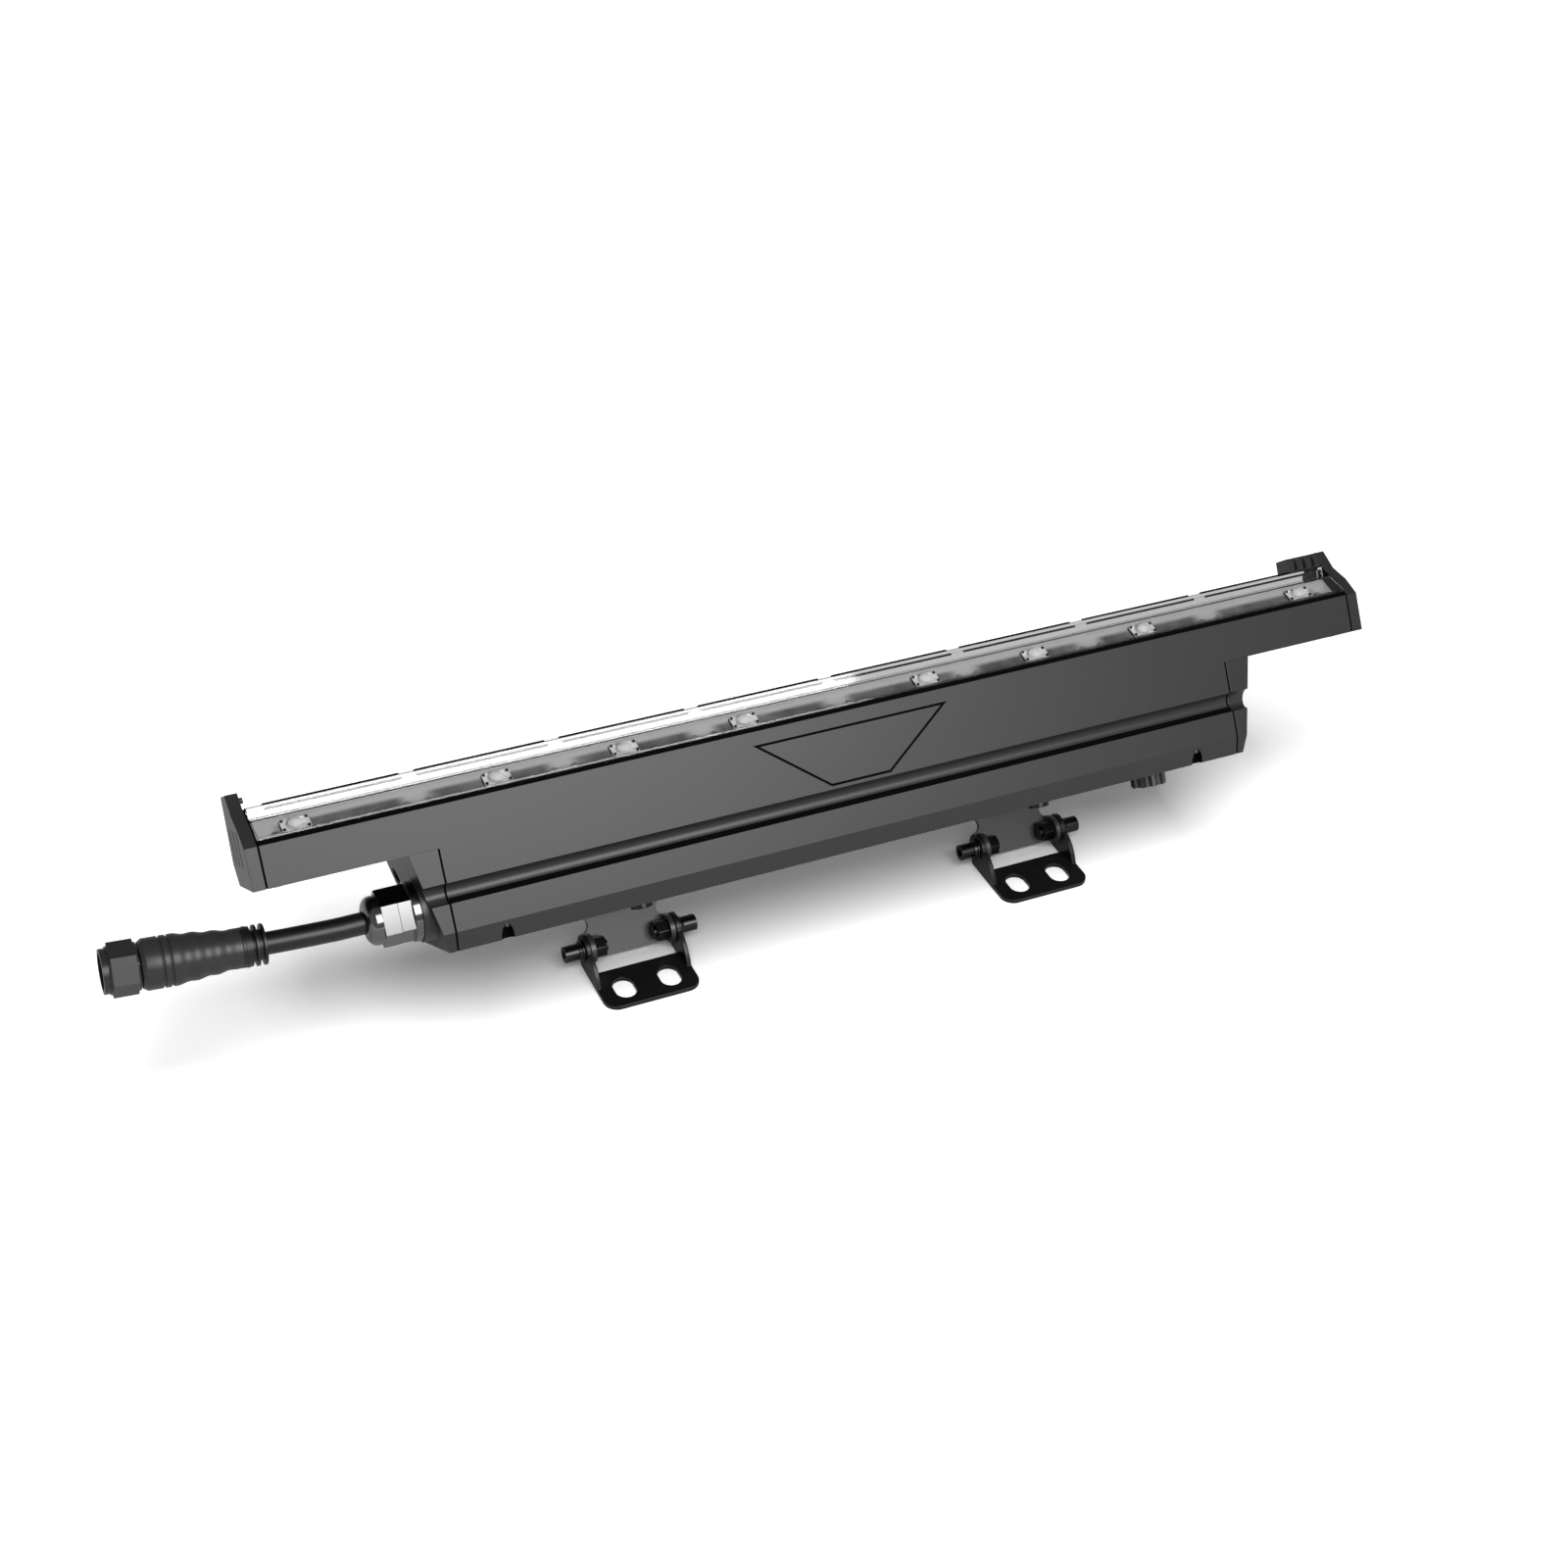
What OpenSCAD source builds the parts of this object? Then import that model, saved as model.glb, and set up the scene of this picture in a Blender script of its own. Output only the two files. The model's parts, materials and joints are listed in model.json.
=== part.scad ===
// Linear light: an extruded lamp body on two hinged floor brackets,
// with a gland, a short cable and a screw connector at its left end.

/* [Lamp body] */
// Length of the lamp over its head end caps
light_l = 500; // [420:10:900]
// Depth of the driver housing from the front face
housing_d = 50; // [46:1:60]
// Height of the driver housing up to the underside of the head
housing_h = 41; // [38:1:46]
// Height of the head's front wall above the driver housing
front_rise = 16.5; // [15.5:0.5:19]
// Thickness of the extruded walls
wall = 2.2; // [1.8:0.1:2.6]
// Length of the driver housing without its end caps
housing_l = 355; // [320:5:380]
// Depth of the head from the front face to its rear wall
head_wall_d = 26; // [24:0.5:28]
// Reach of the cooling fins behind the rear wall of the head
fin_reach = 7.5; // [4:0.5:9]
// Thickness of one cooling fin
fin_t = 1.4; // [1:0.1:2]

/* [Front face] */
// Height of the seam between the body and the driver cover
seam_h = 19.1; // [16:0.1:20]
// Radius of the long half round groove above the seam
groove_r = 4.05; // [3:0.05:4.5]
// Height of the black seal along the bottom of the groove
seal_h = 1.8; // [1:0.1:2]
// Height of the slanted toe along the bottom front edge
toe_h = 7.75; // [4:0.25:9]
// Depth of the slanted toe
toe_d = 3; // [2:0.5:6]
// Width of the inlaid panel along its top
panel_top_w = 86; // [60:1:100]
// Width of the inlaid panel along its bottom
panel_low_w = 25; // [20:1:50]
// Distance of the inlaid panel's top below the top of the front wall
panel_drop = 6.5; // [5:0.5:16]
// Height of the bottom of the inlaid panel
panel_z = 29.5; // [28.5:0.5:31]
// Width of the shadow gap round the inlaid panel
panel_gap = 0.95; // [0.4:0.05:1.2]

/* [Light opening] */
// Height of the gasket strip on top of the front wall
gasket_h = 1.9; // [1:0.1:2.2]
// Height of the clear cover's front lip
lip_h = 0.9; // [0.7:0.1:2]
// Wall of the clear cover
cover_t = 1.2; // [1:0.1:1.4]
// Depth at which the sloping face of the cover ends
cover_slope_d = 8.8; // [8:0.1:9.5]
// Depth of the raised rear rib of the cover
cover_rib_d = 14.2; // [13.8:0.1:14.6]
// Height of the clear cover above the front wall
cover_rise = 13.4; // [12.5:0.1:14.5]
// Number of light modules in a row
modules = 8; // [8:2:14]
// Length left free at each end of the row of light modules
row_gap = 4.2; // [3:0.1:12]
// Length of one lens
lens_l = 12; // [10:0.5:14]
// Width of one lens at its foot
lens_w = 6.8; // [5:0.1:7]
// Height of one lens
lens_h = 2.5; // [2:0.1:2.6]

/* [End caps] */
// Thickness of a head end cap
head_cap_t = 5; // [4:0.5:7]
// Length of a driver housing end cap
housing_cap_t = 12.5; // [11:0.5:16]
// Inward slope of a housing end cap's side face in degrees
cap_slope = 12; // [6:1:15]

/* [Brackets] */
// Distance from the middle of the lamp to each bracket
bracket_x = 92.5; // [60:0.5:140]
// Shift of both brackets towards the lamp's left end
bracket_shift = 2.5; // [0:0.5:10]
// Lean of the lamp away from upright in degrees
lean = 32; // [0:1:60]
// Width of a base bracket over its ears
base_w = 42; // [38:1:50]
// Depth of a base plate
base_d = 23; // [20:0.5:30]
// Sheet thickness of the base brackets and yokes
sheet_t = 2; // [1.5:0.1:2.5]
// Distance between the two fixing slots of a base plate
slot_pitch = 20; // [17:0.5:22]
// Width of a fixing slot
slot_w = 9; // [6:0.5:9.5]
// End to end length of a fixing slot
slot_l = 12.5; // [11:0.5:14]
// Height of the hinge axis above the underside of the base plate
hinge_z = 10; // [9.5:0.1:12]
// Distance from the slots' centre line back to the hinge axis
hinge_y = 19.5; // [18:0.5:22]
// Distance of the hinge axis below the driver housing
hinge_drop = 20.5; // [18:0.5:26]
// Distance of the hinge axis behind the driver housing
hinge_behind = 2; // [1:0.5:5]
// Diameter of the hinge bolts
bolt_d = 5; // [4:0.5:6]

/* [Gland and cable] */
// Depth of the gland axis behind the front face
gland_y = 17.5; // [16:0.5:20]
// Height of the gland axis above the bottom of the housing
gland_z = 17.5; // [16:0.5:20]
// Size of the gland's hexagons across the flats
gland_af = 20; // [18:0.5:22]
// Diameter of the cable
cable_d = 9; // [8:0.5:9.5]

/* [Connector] */
// Largest diameter of the connector's grip
grip_d = 20; // [18:0.5:22]
// Diameter of the grip where the cable enters it
grip_tail_d = 15.6; // [14.5:0.1:17]
// Length of the connector's grip
grip_l = 38; // [30:1:42]
// Length of the coupling nut
nut_l = 13.5; // [11:0.5:16]
// Upward bend of the connector in degrees
connector_bend = 4; // [0:1:8]

/* [Hidden] */
$fn = 48;

// One overrun serves all cuts, one small gap keeps moving pieces apart
cut = 1;
apart = 0.3;
run_fit = 0.05;
seat = 0.02;

// Places that follow from the sizes above
front_h = housing_h + front_rise;
panel_h = front_h - panel_drop - panel_z;
cover_top_h = front_h + cover_rise;
cover_slope_share = 0.679;
cover_slope_h = front_h + cover_rise * cover_slope_share;
hinge_back = housing_d + hinge_behind;
gasket_t = 0.8;
inside_l = light_l - 2 * (head_cap_t + gasket_t);
module_l = (inside_l - 2 * row_gap) / modules;

// Body section
shelf_y0 = 2.5;
shelf_sink = 0.1;
shelf_z0 = front_h - 2 * wall - shelf_sink;
shelf_run = 14.5;
shelf_rise_share = 0.6983;
shelf_rise = (cover_top_h - shelf_z0) * shelf_rise_share;
shelf_a = atan2(shelf_rise, shelf_run);
shelf_len = norm([shelf_run, shelf_rise]);
reflector_t = 0.8;
board_t = 1.6;
layers_t = reflector_t + board_t;
shelf_t = 3;
rear_ledge_y = 18.5;
shoulder_drop = 5;
shoulder_over = 4;
shoulder_h = housing_h - shoulder_drop;
shoulder_y = housing_h + shoulder_over;
fin_count = 4;
fin_start = 7;
fin_first_z = housing_h + fin_start;
fin_pitch_share = 0.2687;
groove_z = seam_h + groove_r;
rib_n = 3;

// Colours
housing_c = "#5b5b5c";
cap_c = "#4a4a4b";
black_c = "#1b1b1c";
chrome_c = "#c9cbcd";
clear_c = [0.9, 0.93, 0.95, 0.35];

// Height of the shelf plane, a given distance below the reflector's face
function shelf_at(y, below) = shelf_z0 + (y - shelf_y0) * tan(shelf_a) - below / cos(shelf_a);

// Places the lamp on its hinge axis, leaning back
module in_lamp() {
  translate([bracket_x + bracket_shift, hinge_y, hinge_z])
    rotate([-lean, 0, 0])
      translate([0, -hinge_back, hinge_drop])
        children();
}

// Draws a section in depth and height, and extrudes it along the lamp
module along_x(length) {
  rotate([90, 0, 90])
    linear_extrude(length, center = true)
      children();
}

// Mirrors a piece to the right end
module both_ends() {
  children();
  mirror([1, 0, 0]) children();
}

// A rod along the lamp, from one place to another
module rod_x(x0, x1, d) {
  translate([min(x0, x1), 0, 0])
    rotate([0, 90, 0])
      cylinder(h = abs(x1 - x0), d = d);
}

// A hexagonal rod along the lamp, by its size across the flats
module hex_x(x0, x1, af) {
  translate([min(x0, x1), 0, 0])
    rotate([0, 90, 0])
      cylinder(h = abs(x1 - x0), d = af / cos(30), $fn = 6);
}

// Main extrusion

module body_section() {
  top = shelf_at(rear_ledge_y, layers_t);
  inner_top = top - wall;
  inner_y = wall + (inner_top - shelf_at(wall, layers_t) + shelf_t / cos(shelf_a)) / tan(shelf_a);
  fin_pitch = (top - fin_first_z) * fin_pitch_share;
  difference() {
    union() {
      polygon([
        [0, seam_h], [0, front_h], [wall, front_h], [wall, shelf_at(wall, layers_t)],
        [rear_ledge_y, top], [head_wall_d, top], [head_wall_d, shoulder_y],
        [housing_d, shoulder_h], [housing_d, seam_h]
      ]);
      for (i = [0 : fin_count - 1])
        translate([head_wall_d - fin_t, fin_first_z + i * fin_pitch])
          square([fin_reach + fin_t, fin_t]);
    }
    polygon([
      [wall, housing_h + wall], [wall, shelf_at(wall, layers_t + shelf_t)],
      [inner_y, inner_top], [head_wall_d - wall, inner_top], [head_wall_d - wall, housing_h + wall]
    ]);
    polygon([
      [wall, seam_h - cut], [wall, housing_h], [head_wall_d, housing_h],
      [housing_d - wall, shoulder_h - wall], [housing_d - wall, seam_h - cut]
    ]);
  }
}

module groove_section() {
  translate([0, groove_z]) circle(groove_r);
}

module groove_back() {
  intersection() {
    translate([0, groove_z]) circle(groove_r + wall);
    translate([0, seam_h]) square([housing_d, housing_h - seam_h]);
  }
}

panel_depth = 1.4;
lead_x = -20;
lead_y = 14;
lead_d = 2.4;
grommet_d = 8;

module panel_outline(grow) {
  polygon([
    [-panel_low_w / 2 - grow, panel_z - grow], [panel_low_w / 2 + grow, panel_z - grow],
    [panel_top_w / 2 + grow, panel_z + panel_h + grow], [-panel_top_w / 2 - grow, panel_z + panel_h + grow]
  ]);
}

module main_extrusion() {
  color(housing_c) in_lamp()
    difference() {
      union() {
        along_x(inside_l)
          difference() {
            union() {
              body_section();
              groove_back();
            }
            groove_section();
          }
        toe_screw_lugs();
      }
      both_ends()
        translate([housing_l / 2, -cut, 0]) {
          cube([light_l, housing_d + 2 * cut, housing_h]);
          translate([0, head_wall_d + cut, 0])
            cube([light_l, housing_d, shoulder_y + seat]);
        }
      translate([0, panel_depth, 0])
        rotate([90, 0, 0])
          linear_extrude(panel_depth + cut)
            panel_outline(panel_gap);
      translate([lead_x, lead_y, housing_h - cut])
        cylinder(h = wall + 2 * cut, d = grommet_d - 2 * grommet_lip);
      translate([lead_x, lead_y, housing_h])
        cylinder(h = cover_top_h - housing_h, d = grommet_d - 2 * grommet_lip);
      board_screw_holes();
      both_ends() head_cap_screw_holes();
    }
}

// Driver cover, the lower shell of the housing

heel_d = 5;

module cover_outline() {
  polygon([
    [0, seam_h], [0, toe_h], [toe_d, 0], [housing_d - heel_d, 0], [housing_d, heel_d], [housing_d, seam_h]
  ]);
}

module cover_section() {
  difference() {
    cover_outline();
    polygon([
      [wall, seam_h + cut], [wall, toe_h + wall / 2], [toe_d + wall / 2, wall],
      [housing_d - heel_d - wall / 2, wall], [housing_d - wall, heel_d + wall / 2], [housing_d - wall, seam_h + cut]
    ]);
  }
}

cover_screw_in = 20;
cover_screw_x = housing_l / 2 - cover_screw_in;
cover_screw_d = 3;
cover_head_d = 5;
cover_head_h = 2;
toe_hole_d = 5.4;
toe_hole_y = 3.2;
toe_hole_h = 7;
toe_boss_h = 12;
toe_boss_d = 9;
lug_d = 8;
lug_y = 2.6;
lug_over = 0.9;
toe_screw_l = 10.5;

module at_toe_screws() {
  for (x = [-cover_screw_x, cover_screw_x])
    translate([x, toe_hole_y, 0])
      children();
}

module toe_screw_lugs() {
  difference() {
    at_toe_screws()
      translate([0, 0, toe_boss_h + apart])
        cylinder(h = seam_h + lug_over - toe_boss_h - apart, d = lug_d);
    along_x(housing_l) translate([-lug_d, 0]) square([lug_d + lug_y, housing_h]);
    at_toe_screws() cylinder(h = toe_hole_h + toe_screw_l + apart, d = cover_screw_d + 2 * run_fit);
  }
}

module at_rear_cover_screws() {
  for (x = [-cover_screw_x, cover_screw_x])
    translate([x, housing_d, (seam_h + heel_d) / 2])
      rotate([-90, 0, 0])
        children();
}

module driver_cover() {
  color(housing_c) in_lamp()
    difference() {
      union() {
        along_x(housing_l) cover_section();
        intersection() {
          along_x(housing_l) cover_outline();
          at_toe_screws() cylinder(h = toe_boss_h, d = toe_boss_d);
        }
      }
      at_toe_screws() {
        translate([0, 0, -cut]) cylinder(h = toe_hole_h + cut, d = toe_hole_d);
        cylinder(h = seam_h + cut, d = cover_screw_d + 2 * run_fit);
      }
      at_rear_cover_screws()
        translate([0, 0, -wall - cut]) cylinder(h = wall + 2 * cut, d = cover_screw_d + 2 * run_fit);
      yoke_holes();
      vent_hole();
    }
}

module driver_cover_screws() {
  screw_l = 5;
  recess_share = 0.5;
  color(chrome_c) in_lamp() {
    at_toe_screws()
      difference() {
        union() {
          translate([0, 0, toe_hole_h - cover_head_h]) cylinder(h = cover_head_h, d = cover_head_d);
          translate([0, 0, toe_hole_h - seat]) cylinder(h = toe_screw_l + seat, d = cover_screw_d);
        }
        translate([0, 0, toe_hole_h - cover_head_h * (2 - recess_share)])
          cylinder(h = cover_head_h, d = cover_screw_d * recess_share * 1.6, $fn = 6);
      }
    at_rear_cover_screws()
      difference() {
        union() {
          cylinder(h = cover_head_h, d = cover_head_d);
          translate([0, 0, -screw_l]) cylinder(h = screw_l, d = cover_screw_d);
        }
        translate([0, 0, cover_head_h * recess_share])
          cylinder(h = cover_head_h, d = cover_screw_d * recess_share, $fn = 6);
      }
  }
}

// Seal over the seam, at the bottom of the groove

seal_in = 0.3;

module seam_seal() {
  color(black_c) in_lamp()
    along_x(housing_l - 2 * apart)
      intersection() {
        groove_section();
        translate([seal_in, seam_h]) square([groove_r, seal_h]);
      }
}

module inlay_panel() {
  color(housing_c) in_lamp()
    translate([0, panel_depth, 0])
      rotate([90, 0, 0])
        linear_extrude(panel_depth)
          panel_outline(0);
}

// Clear cover, its gasket and clips

lip_y = 0.2;
gasket_w = 1.8;
rear_gasket_h = 0.8;
rear_seat_h = shelf_at(rear_ledge_y, layers_t);
rear_foot_w = 4;

module cover_gasket() {
  color(black_c) in_lamp() {
    translate([0, 0, front_h])
      along_x(inside_l)
        translate([lip_y, 0]) square([gasket_w, gasket_h]);
    translate([0, 0, rear_seat_h])
      along_x(inside_l)
        translate([rear_ledge_y, 0]) square([rear_foot_w, rear_gasket_h]);
  }
}

module clear_section() {
  lip_z = front_h + gasket_h;
  slope_z = lip_z + lip_h;
  foot_z = rear_seat_h + rear_gasket_h;
  rear_y = rear_ledge_y + cover_t;
  polygon([
    [lip_y, lip_z], [lip_y, slope_z], [cover_slope_d, cover_slope_h], [cover_rib_d, cover_slope_h],
    [cover_rib_d, cover_top_h], [rear_y, cover_top_h], [rear_y, foot_z + cover_t],
    [rear_ledge_y + rear_foot_w, foot_z + cover_t], [rear_ledge_y + rear_foot_w, foot_z],
    [rear_ledge_y, foot_z], [rear_ledge_y, cover_top_h - cover_t],
    [cover_rib_d + cover_t, cover_top_h - cover_t], [cover_rib_d + cover_t, cover_slope_h - cover_t],
    [cover_slope_d + cover_t / 2, cover_slope_h - cover_t], [lip_y + cover_t, slope_z - cover_t / 3],
    [lip_y + gasket_w, lip_z]
  ]);
}

module clear_cover() {
  color(clear_c) in_lamp()
    along_x(inside_l - 2 * apart) clear_section();
}

clip_w = 3;
clip_t = 0.5;
clip_reach = 1.6;

module cover_clips() {
  color(chrome_c) in_lamp()
    for (i = [1 : modules - 1])
      translate([(i - modules / 2) * module_l, 0, front_h - clip_reach])
        difference() {
          translate([-clip_w / 2, wall, 0]) cube([clip_w, clip_t, clip_reach + gasket_h + clip_t]);
          translate([0, wall + clip_t / 2, 0]) cube([clip_t, clip_t, clip_t]);
        }
}

// Light modules on the sloping shelf

strip_share = 0.95;
strip_w = shelf_len * strip_share;
lens_shares = [0.69, 1.56, 2.45, 3.79];
lens_s_share = 0.67;
lens_gap = 0.2;
lens_top_share = 0.66;
package_l = 3.5;
package_w = 2.8;
package_h = 0.6;
board_gap = 1;
board_screw_d = 2;
board_screw_head_d = 3.6;
board_screw_head_h = 1;
board_screw_x_share = 0.43;

module on_shelf(x, along, up) {
  translate([x, shelf_y0, shelf_z0])
    rotate([shelf_a, 0, 0])
      translate([0, along, up])
        children();
}

module at_lenses() {
  for (share = lens_shares, side = [-1, 1])
    on_shelf(side * share * module_l, strip_w * lens_s_share, -reflector_t)
      children();
}

module at_modules() {
  for (i = [0 : modules - 1])
    translate([(i - (modules - 1) / 2) * module_l, 0, 0])
      children();
}

module at_board_screws(up) {
  at_modules()
    for (x = [-module_l * board_screw_x_share, module_l * board_screw_x_share])
      on_shelf(x, strip_w / 2, up)
        children();
}

module board_screw_holes() {
  at_board_screws(-layers_t - shelf_t - cut)
    cylinder(h = layers_t + shelf_t + 2 * cut, d = board_screw_d + 2 * run_fit, $fn = 24);
}

module reflector() {
  color("#b9bbbc") in_lamp()
    difference() {
      on_shelf(-inside_l / 2, 0, -reflector_t)
        cube([inside_l, strip_w, reflector_t]);
      at_lenses()
        translate([-lens_l / 2 - lens_gap, -lens_w / 2 - lens_gap, -cut])
          cube([lens_l + 2 * lens_gap, lens_w + 2 * lens_gap, reflector_t + 2 * cut]);
      board_screw_holes();
    }
}

module led_boards() {
  color("#e6e7e6") in_lamp()
    difference() {
      at_modules()
        on_shelf(-(module_l - board_gap) / 2, 0, -layers_t)
          cube([module_l - board_gap, strip_w, board_t]);
      board_screw_holes();
    }
}

module led_packages() {
  color("#e8d77a") in_lamp()
    at_lenses()
      translate([-package_l / 2, -package_w / 2, 0])
        cube([package_l, package_w, package_h]);
}

module led_lenses() {
  color([0.95, 0.97, 1, 0.4]) in_lamp()
    at_lenses()
      difference() {
        linear_extrude(lens_h + reflector_t, scale = lens_top_share)
          square([lens_l, lens_w], center = true);
        translate([0, 0, -cut])
          linear_extrude(package_h + cut + lens_gap)
            square([package_l + 2 * lens_gap, package_w + 2 * lens_gap], center = true);
      }
}

module board_screws() {
  color(chrome_c) in_lamp()
    at_board_screws(0) {
      cylinder(h = board_screw_head_h, d = board_screw_head_d, $fn = 24);
      translate([0, 0, -layers_t - shelf_t])
        cylinder(h = layers_t + shelf_t + seat, d = board_screw_d, $fn = 24);
    }
}

// Head end caps

cap_over = 6.3;
cap_top_h = cover_top_h + cap_over;
cap_d = head_wall_d + fin_reach + wall;
gasket_inset = 0.2;
tongue_l = 10;
tongue_y = [7, 19];
tongue_h = 6;
vent_slot_w = 1.4;
vent_slot_deep = 2.4;
vent_slot_low = 49.5;
vent_slot_high = 63.5;
vent_slot_y = 10.5;
vent_slot_pitch = 7.6;
block_l = 16;
block_y = [16.5, 27];
block_sink = 0.4;
block_z = cover_top_h - block_sink;
oval_w = 2.4;
oval_h = 4.8;
oval_deep = 3;
oval_pitch = 4.6;
nub_l = 1.6;
nub_d = 2.4;

module cap_outline(inset) {
  polygon([
    [inset, housing_h + inset], [inset, front_h - inset / 2],
    [cap_d * 0.17 + inset * 0.7, front_h + (cap_top_h - front_h) * 0.33 - inset * 0.7],
    [cap_d * 0.4 + inset, front_h + (cap_top_h - front_h) * 0.6 - inset / 2],
    [cap_d * 0.56 + inset / 2, cap_top_h - inset], [cap_d * 0.85 - inset, cap_top_h - wall / 2 - inset],
    [cap_d * 0.93 - inset, front_h + wall * 2], [cap_d - inset, housing_h + (front_h - housing_h) * 0.5],
    [cap_d * 0.86 - inset / 2, housing_h + inset]
  ]);
}

head_cap_x = light_l / 2 - head_cap_t;

module head_cap_body() {
  difference() {
    union() {
      translate([head_cap_x + head_cap_t / 2, 0, 0]) along_x(head_cap_t) cap_outline(0);
      translate([head_cap_x - gasket_t - tongue_l, tongue_y[0], housing_h + wall + seat])
        cube([gasket_t + tongue_l + seat, tongue_y[1] - tongue_y[0], tongue_h]);
    }
    head_cap_screw_holes();
  }
}

head_screw_d = 3;
head_screw_l = 6;
head_screw_head_d = 5.5;
head_screw_head_h = 1;

module at_head_cap_screws() {
  for (share = [0.25, 0.75])
    translate([
      head_cap_x - gasket_t - tongue_l / 2,
      tongue_y[0] + (tongue_y[1] - tongue_y[0]) * share, housing_h
    ])
      children();
}

module head_cap_screw_holes() {
  at_head_cap_screws()
    translate([0, 0, -cut])
      cylinder(h = head_screw_l + cut + apart, d = head_screw_d + 2 * run_fit, $fn = 32);
}

module head_cap_screws() {
  color(chrome_c) in_lamp()
    both_ends()
      at_head_cap_screws() {
        translate([0, 0, -seat]) cylinder(h = head_screw_l + seat, d = head_screw_d, $fn = 32);
        translate([0, 0, -head_screw_head_h])
          cylinder(h = head_screw_head_h, d = head_screw_head_d, $fn = 32);
      }
}

module head_end_cap_left() {
  color(cap_c) in_lamp()
    mirror([1, 0, 0]) {
      difference() {
        head_cap_body();
        for (i = [0 : rib_n - 1])
          translate([light_l / 2 - vent_slot_deep, vent_slot_y + i * vent_slot_pitch, vent_slot_low])
            cube([vent_slot_deep + cut, vent_slot_w, vent_slot_high - vent_slot_low]);
      }
      translate([0, block_y[0] + 2 * nub_d, block_z + 1.4 * nub_d])
        rod_x(head_cap_x - nub_l, head_cap_x + seat, nub_d);
    }
}

module head_end_cap_right() {
  color(cap_c) in_lamp() {
    head_cap_body();
    difference() {
      translate([head_cap_x - block_l, 0, 0])
        rotate([90, 0, 90])
          linear_extrude(block_l + seat)
            polygon([
              [block_y[0], cover_top_h + apart], [block_y[0] + wall, cap_top_h],
              [block_y[1], cap_top_h - wall / 2], [block_y[1], block_z],
              [rear_ledge_y + cover_t + apart, block_z], [rear_ledge_y + cover_t + apart, cover_top_h + apart]
            ]);
      for (i = [0 : rib_n - 1])
        translate([head_cap_x - block_l + oval_pitch * (i + 0.7), block_y[0] - cut, block_z + oval_h * 0.72])
          rotate([-90, 0, 0])
            linear_extrude(oval_deep + cut) {
              square([oval_w, oval_h - oval_w], center = true);
              for (z = [-(oval_h - oval_w) / 2, (oval_h - oval_w) / 2])
                translate([0, z]) circle(d = oval_w, $fn = 24);
            }
    }
  }
}

module head_cap_gaskets() {
  color(black_c) in_lamp()
    both_ends()
      difference() {
        translate([head_cap_x - gasket_t / 2, 0, 0])
          along_x(gasket_t)
            difference() {
              cap_outline(gasket_inset);
              translate([0, block_z]) square([cap_d, cap_top_h]);
              translate([tongue_y[0] - apart, housing_h + wall])
                square([tongue_y[1] - tongue_y[0] + 2 * apart, tongue_h + apart]);
            }
      }
}

// Driver housing end caps

cap_cavity = 4;
cap_floor_h = 12;
boss_d = 26;
boss_out = 10.5;
boss_x = housing_l / 2 + boss_out;
gland_thread_d = 16;
housing_screw_d = 4;
housing_screw_head_d = 7;
housing_screw_head_h = 2.4;
housing_screw_in = 7;
housing_screw_y = housing_d - housing_screw_in;
housing_screw_zs = [9, 29];
screw_floor = 4;

module housing_cap_outline(inset) {
  polygon([
    [inset, toe_h + inset / 2], [toe_d + inset / 2, inset], [housing_d - heel_d - inset / 2, inset],
    [housing_d - inset, heel_d + inset / 2], [housing_d - inset, shoulder_h - inset],
    [housing_d - heel_d * 2, housing_h - seat - inset], [inset, housing_h - seat - inset]
  ]);
}

module housing_cap_body() {
  x0 = housing_l / 2 + gasket_t;
  x1 = housing_l / 2 + housing_cap_t;
  difference() {
    translate([(x0 + x1) / 2, 0, 0])
      along_x(x1 - x0)
        difference() {
          housing_cap_outline(0);
          groove_section();
        }
    translate([x0 + (cap_cavity - cut) / 2, 0, 0])
      along_x(cap_cavity + cut)
        difference() {
          housing_cap_outline(wall);
          square([housing_d, cap_floor_h]);
          translate([0, groove_z]) circle(groove_r + wall);
          for (z = housing_screw_zs)
            translate([housing_screw_y, z]) circle(housing_screw_head_d / 2 + wall / 2);
        }
    translate([x1, -cut, housing_h])
      rotate([0, cap_slope, 0])
        translate([0, 0, -2 * housing_h])
          cube([housing_cap_t * 2, housing_d + 2 * cut, 3 * housing_h]);
    housing_cap_screw_cuts();
  }
}

module at_housing_cap_screws() {
  for (z = housing_screw_zs)
    translate([housing_l / 2 + screw_floor, housing_screw_y, z])
      rotate([0, 90, 0])
        children();
}

module housing_cap_screw_cuts() {
  at_housing_cap_screws() {
    cylinder(h = housing_cap_t + cut, d = housing_screw_head_d + 2 * run_fit, $fn = 32);
    translate([0, 0, -screw_floor - cut])
      cylinder(h = screw_floor + 2 * cut, d = housing_screw_d + 2 * run_fit, $fn = 32);
  }
}

module housing_cap_screws() {
  color(chrome_c) in_lamp()
    both_ends()
      at_housing_cap_screws() {
        cylinder(h = housing_screw_head_h, d = housing_screw_head_d, $fn = 32);
        translate([0, 0, seat - screw_floor])
          cylinder(h = screw_floor, d = housing_screw_d, $fn = 32);
      }
}

module housing_end_cap_left() {
  color(cap_c) in_lamp()
    difference() {
      union() {
        mirror([1, 0, 0]) housing_cap_body();
        translate([0, gland_y, gland_z])
          rod_x(-boss_x, -housing_l / 2 - gasket_t - cap_cavity, boss_d);
      }
      translate([0, gland_y, gland_z])
        rod_x(-boss_x - cut, -housing_l / 2 + cut, gland_thread_d + 2 * run_fit);
      translate([0, gland_y, gland_z])
        rod_x(-locknut_x, -housing_l / 2 + cut, gland_af / cos(30) + 2 * apart);
    }
}

module housing_end_cap_right() {
  color(cap_c) in_lamp() housing_cap_body();
}

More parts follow.
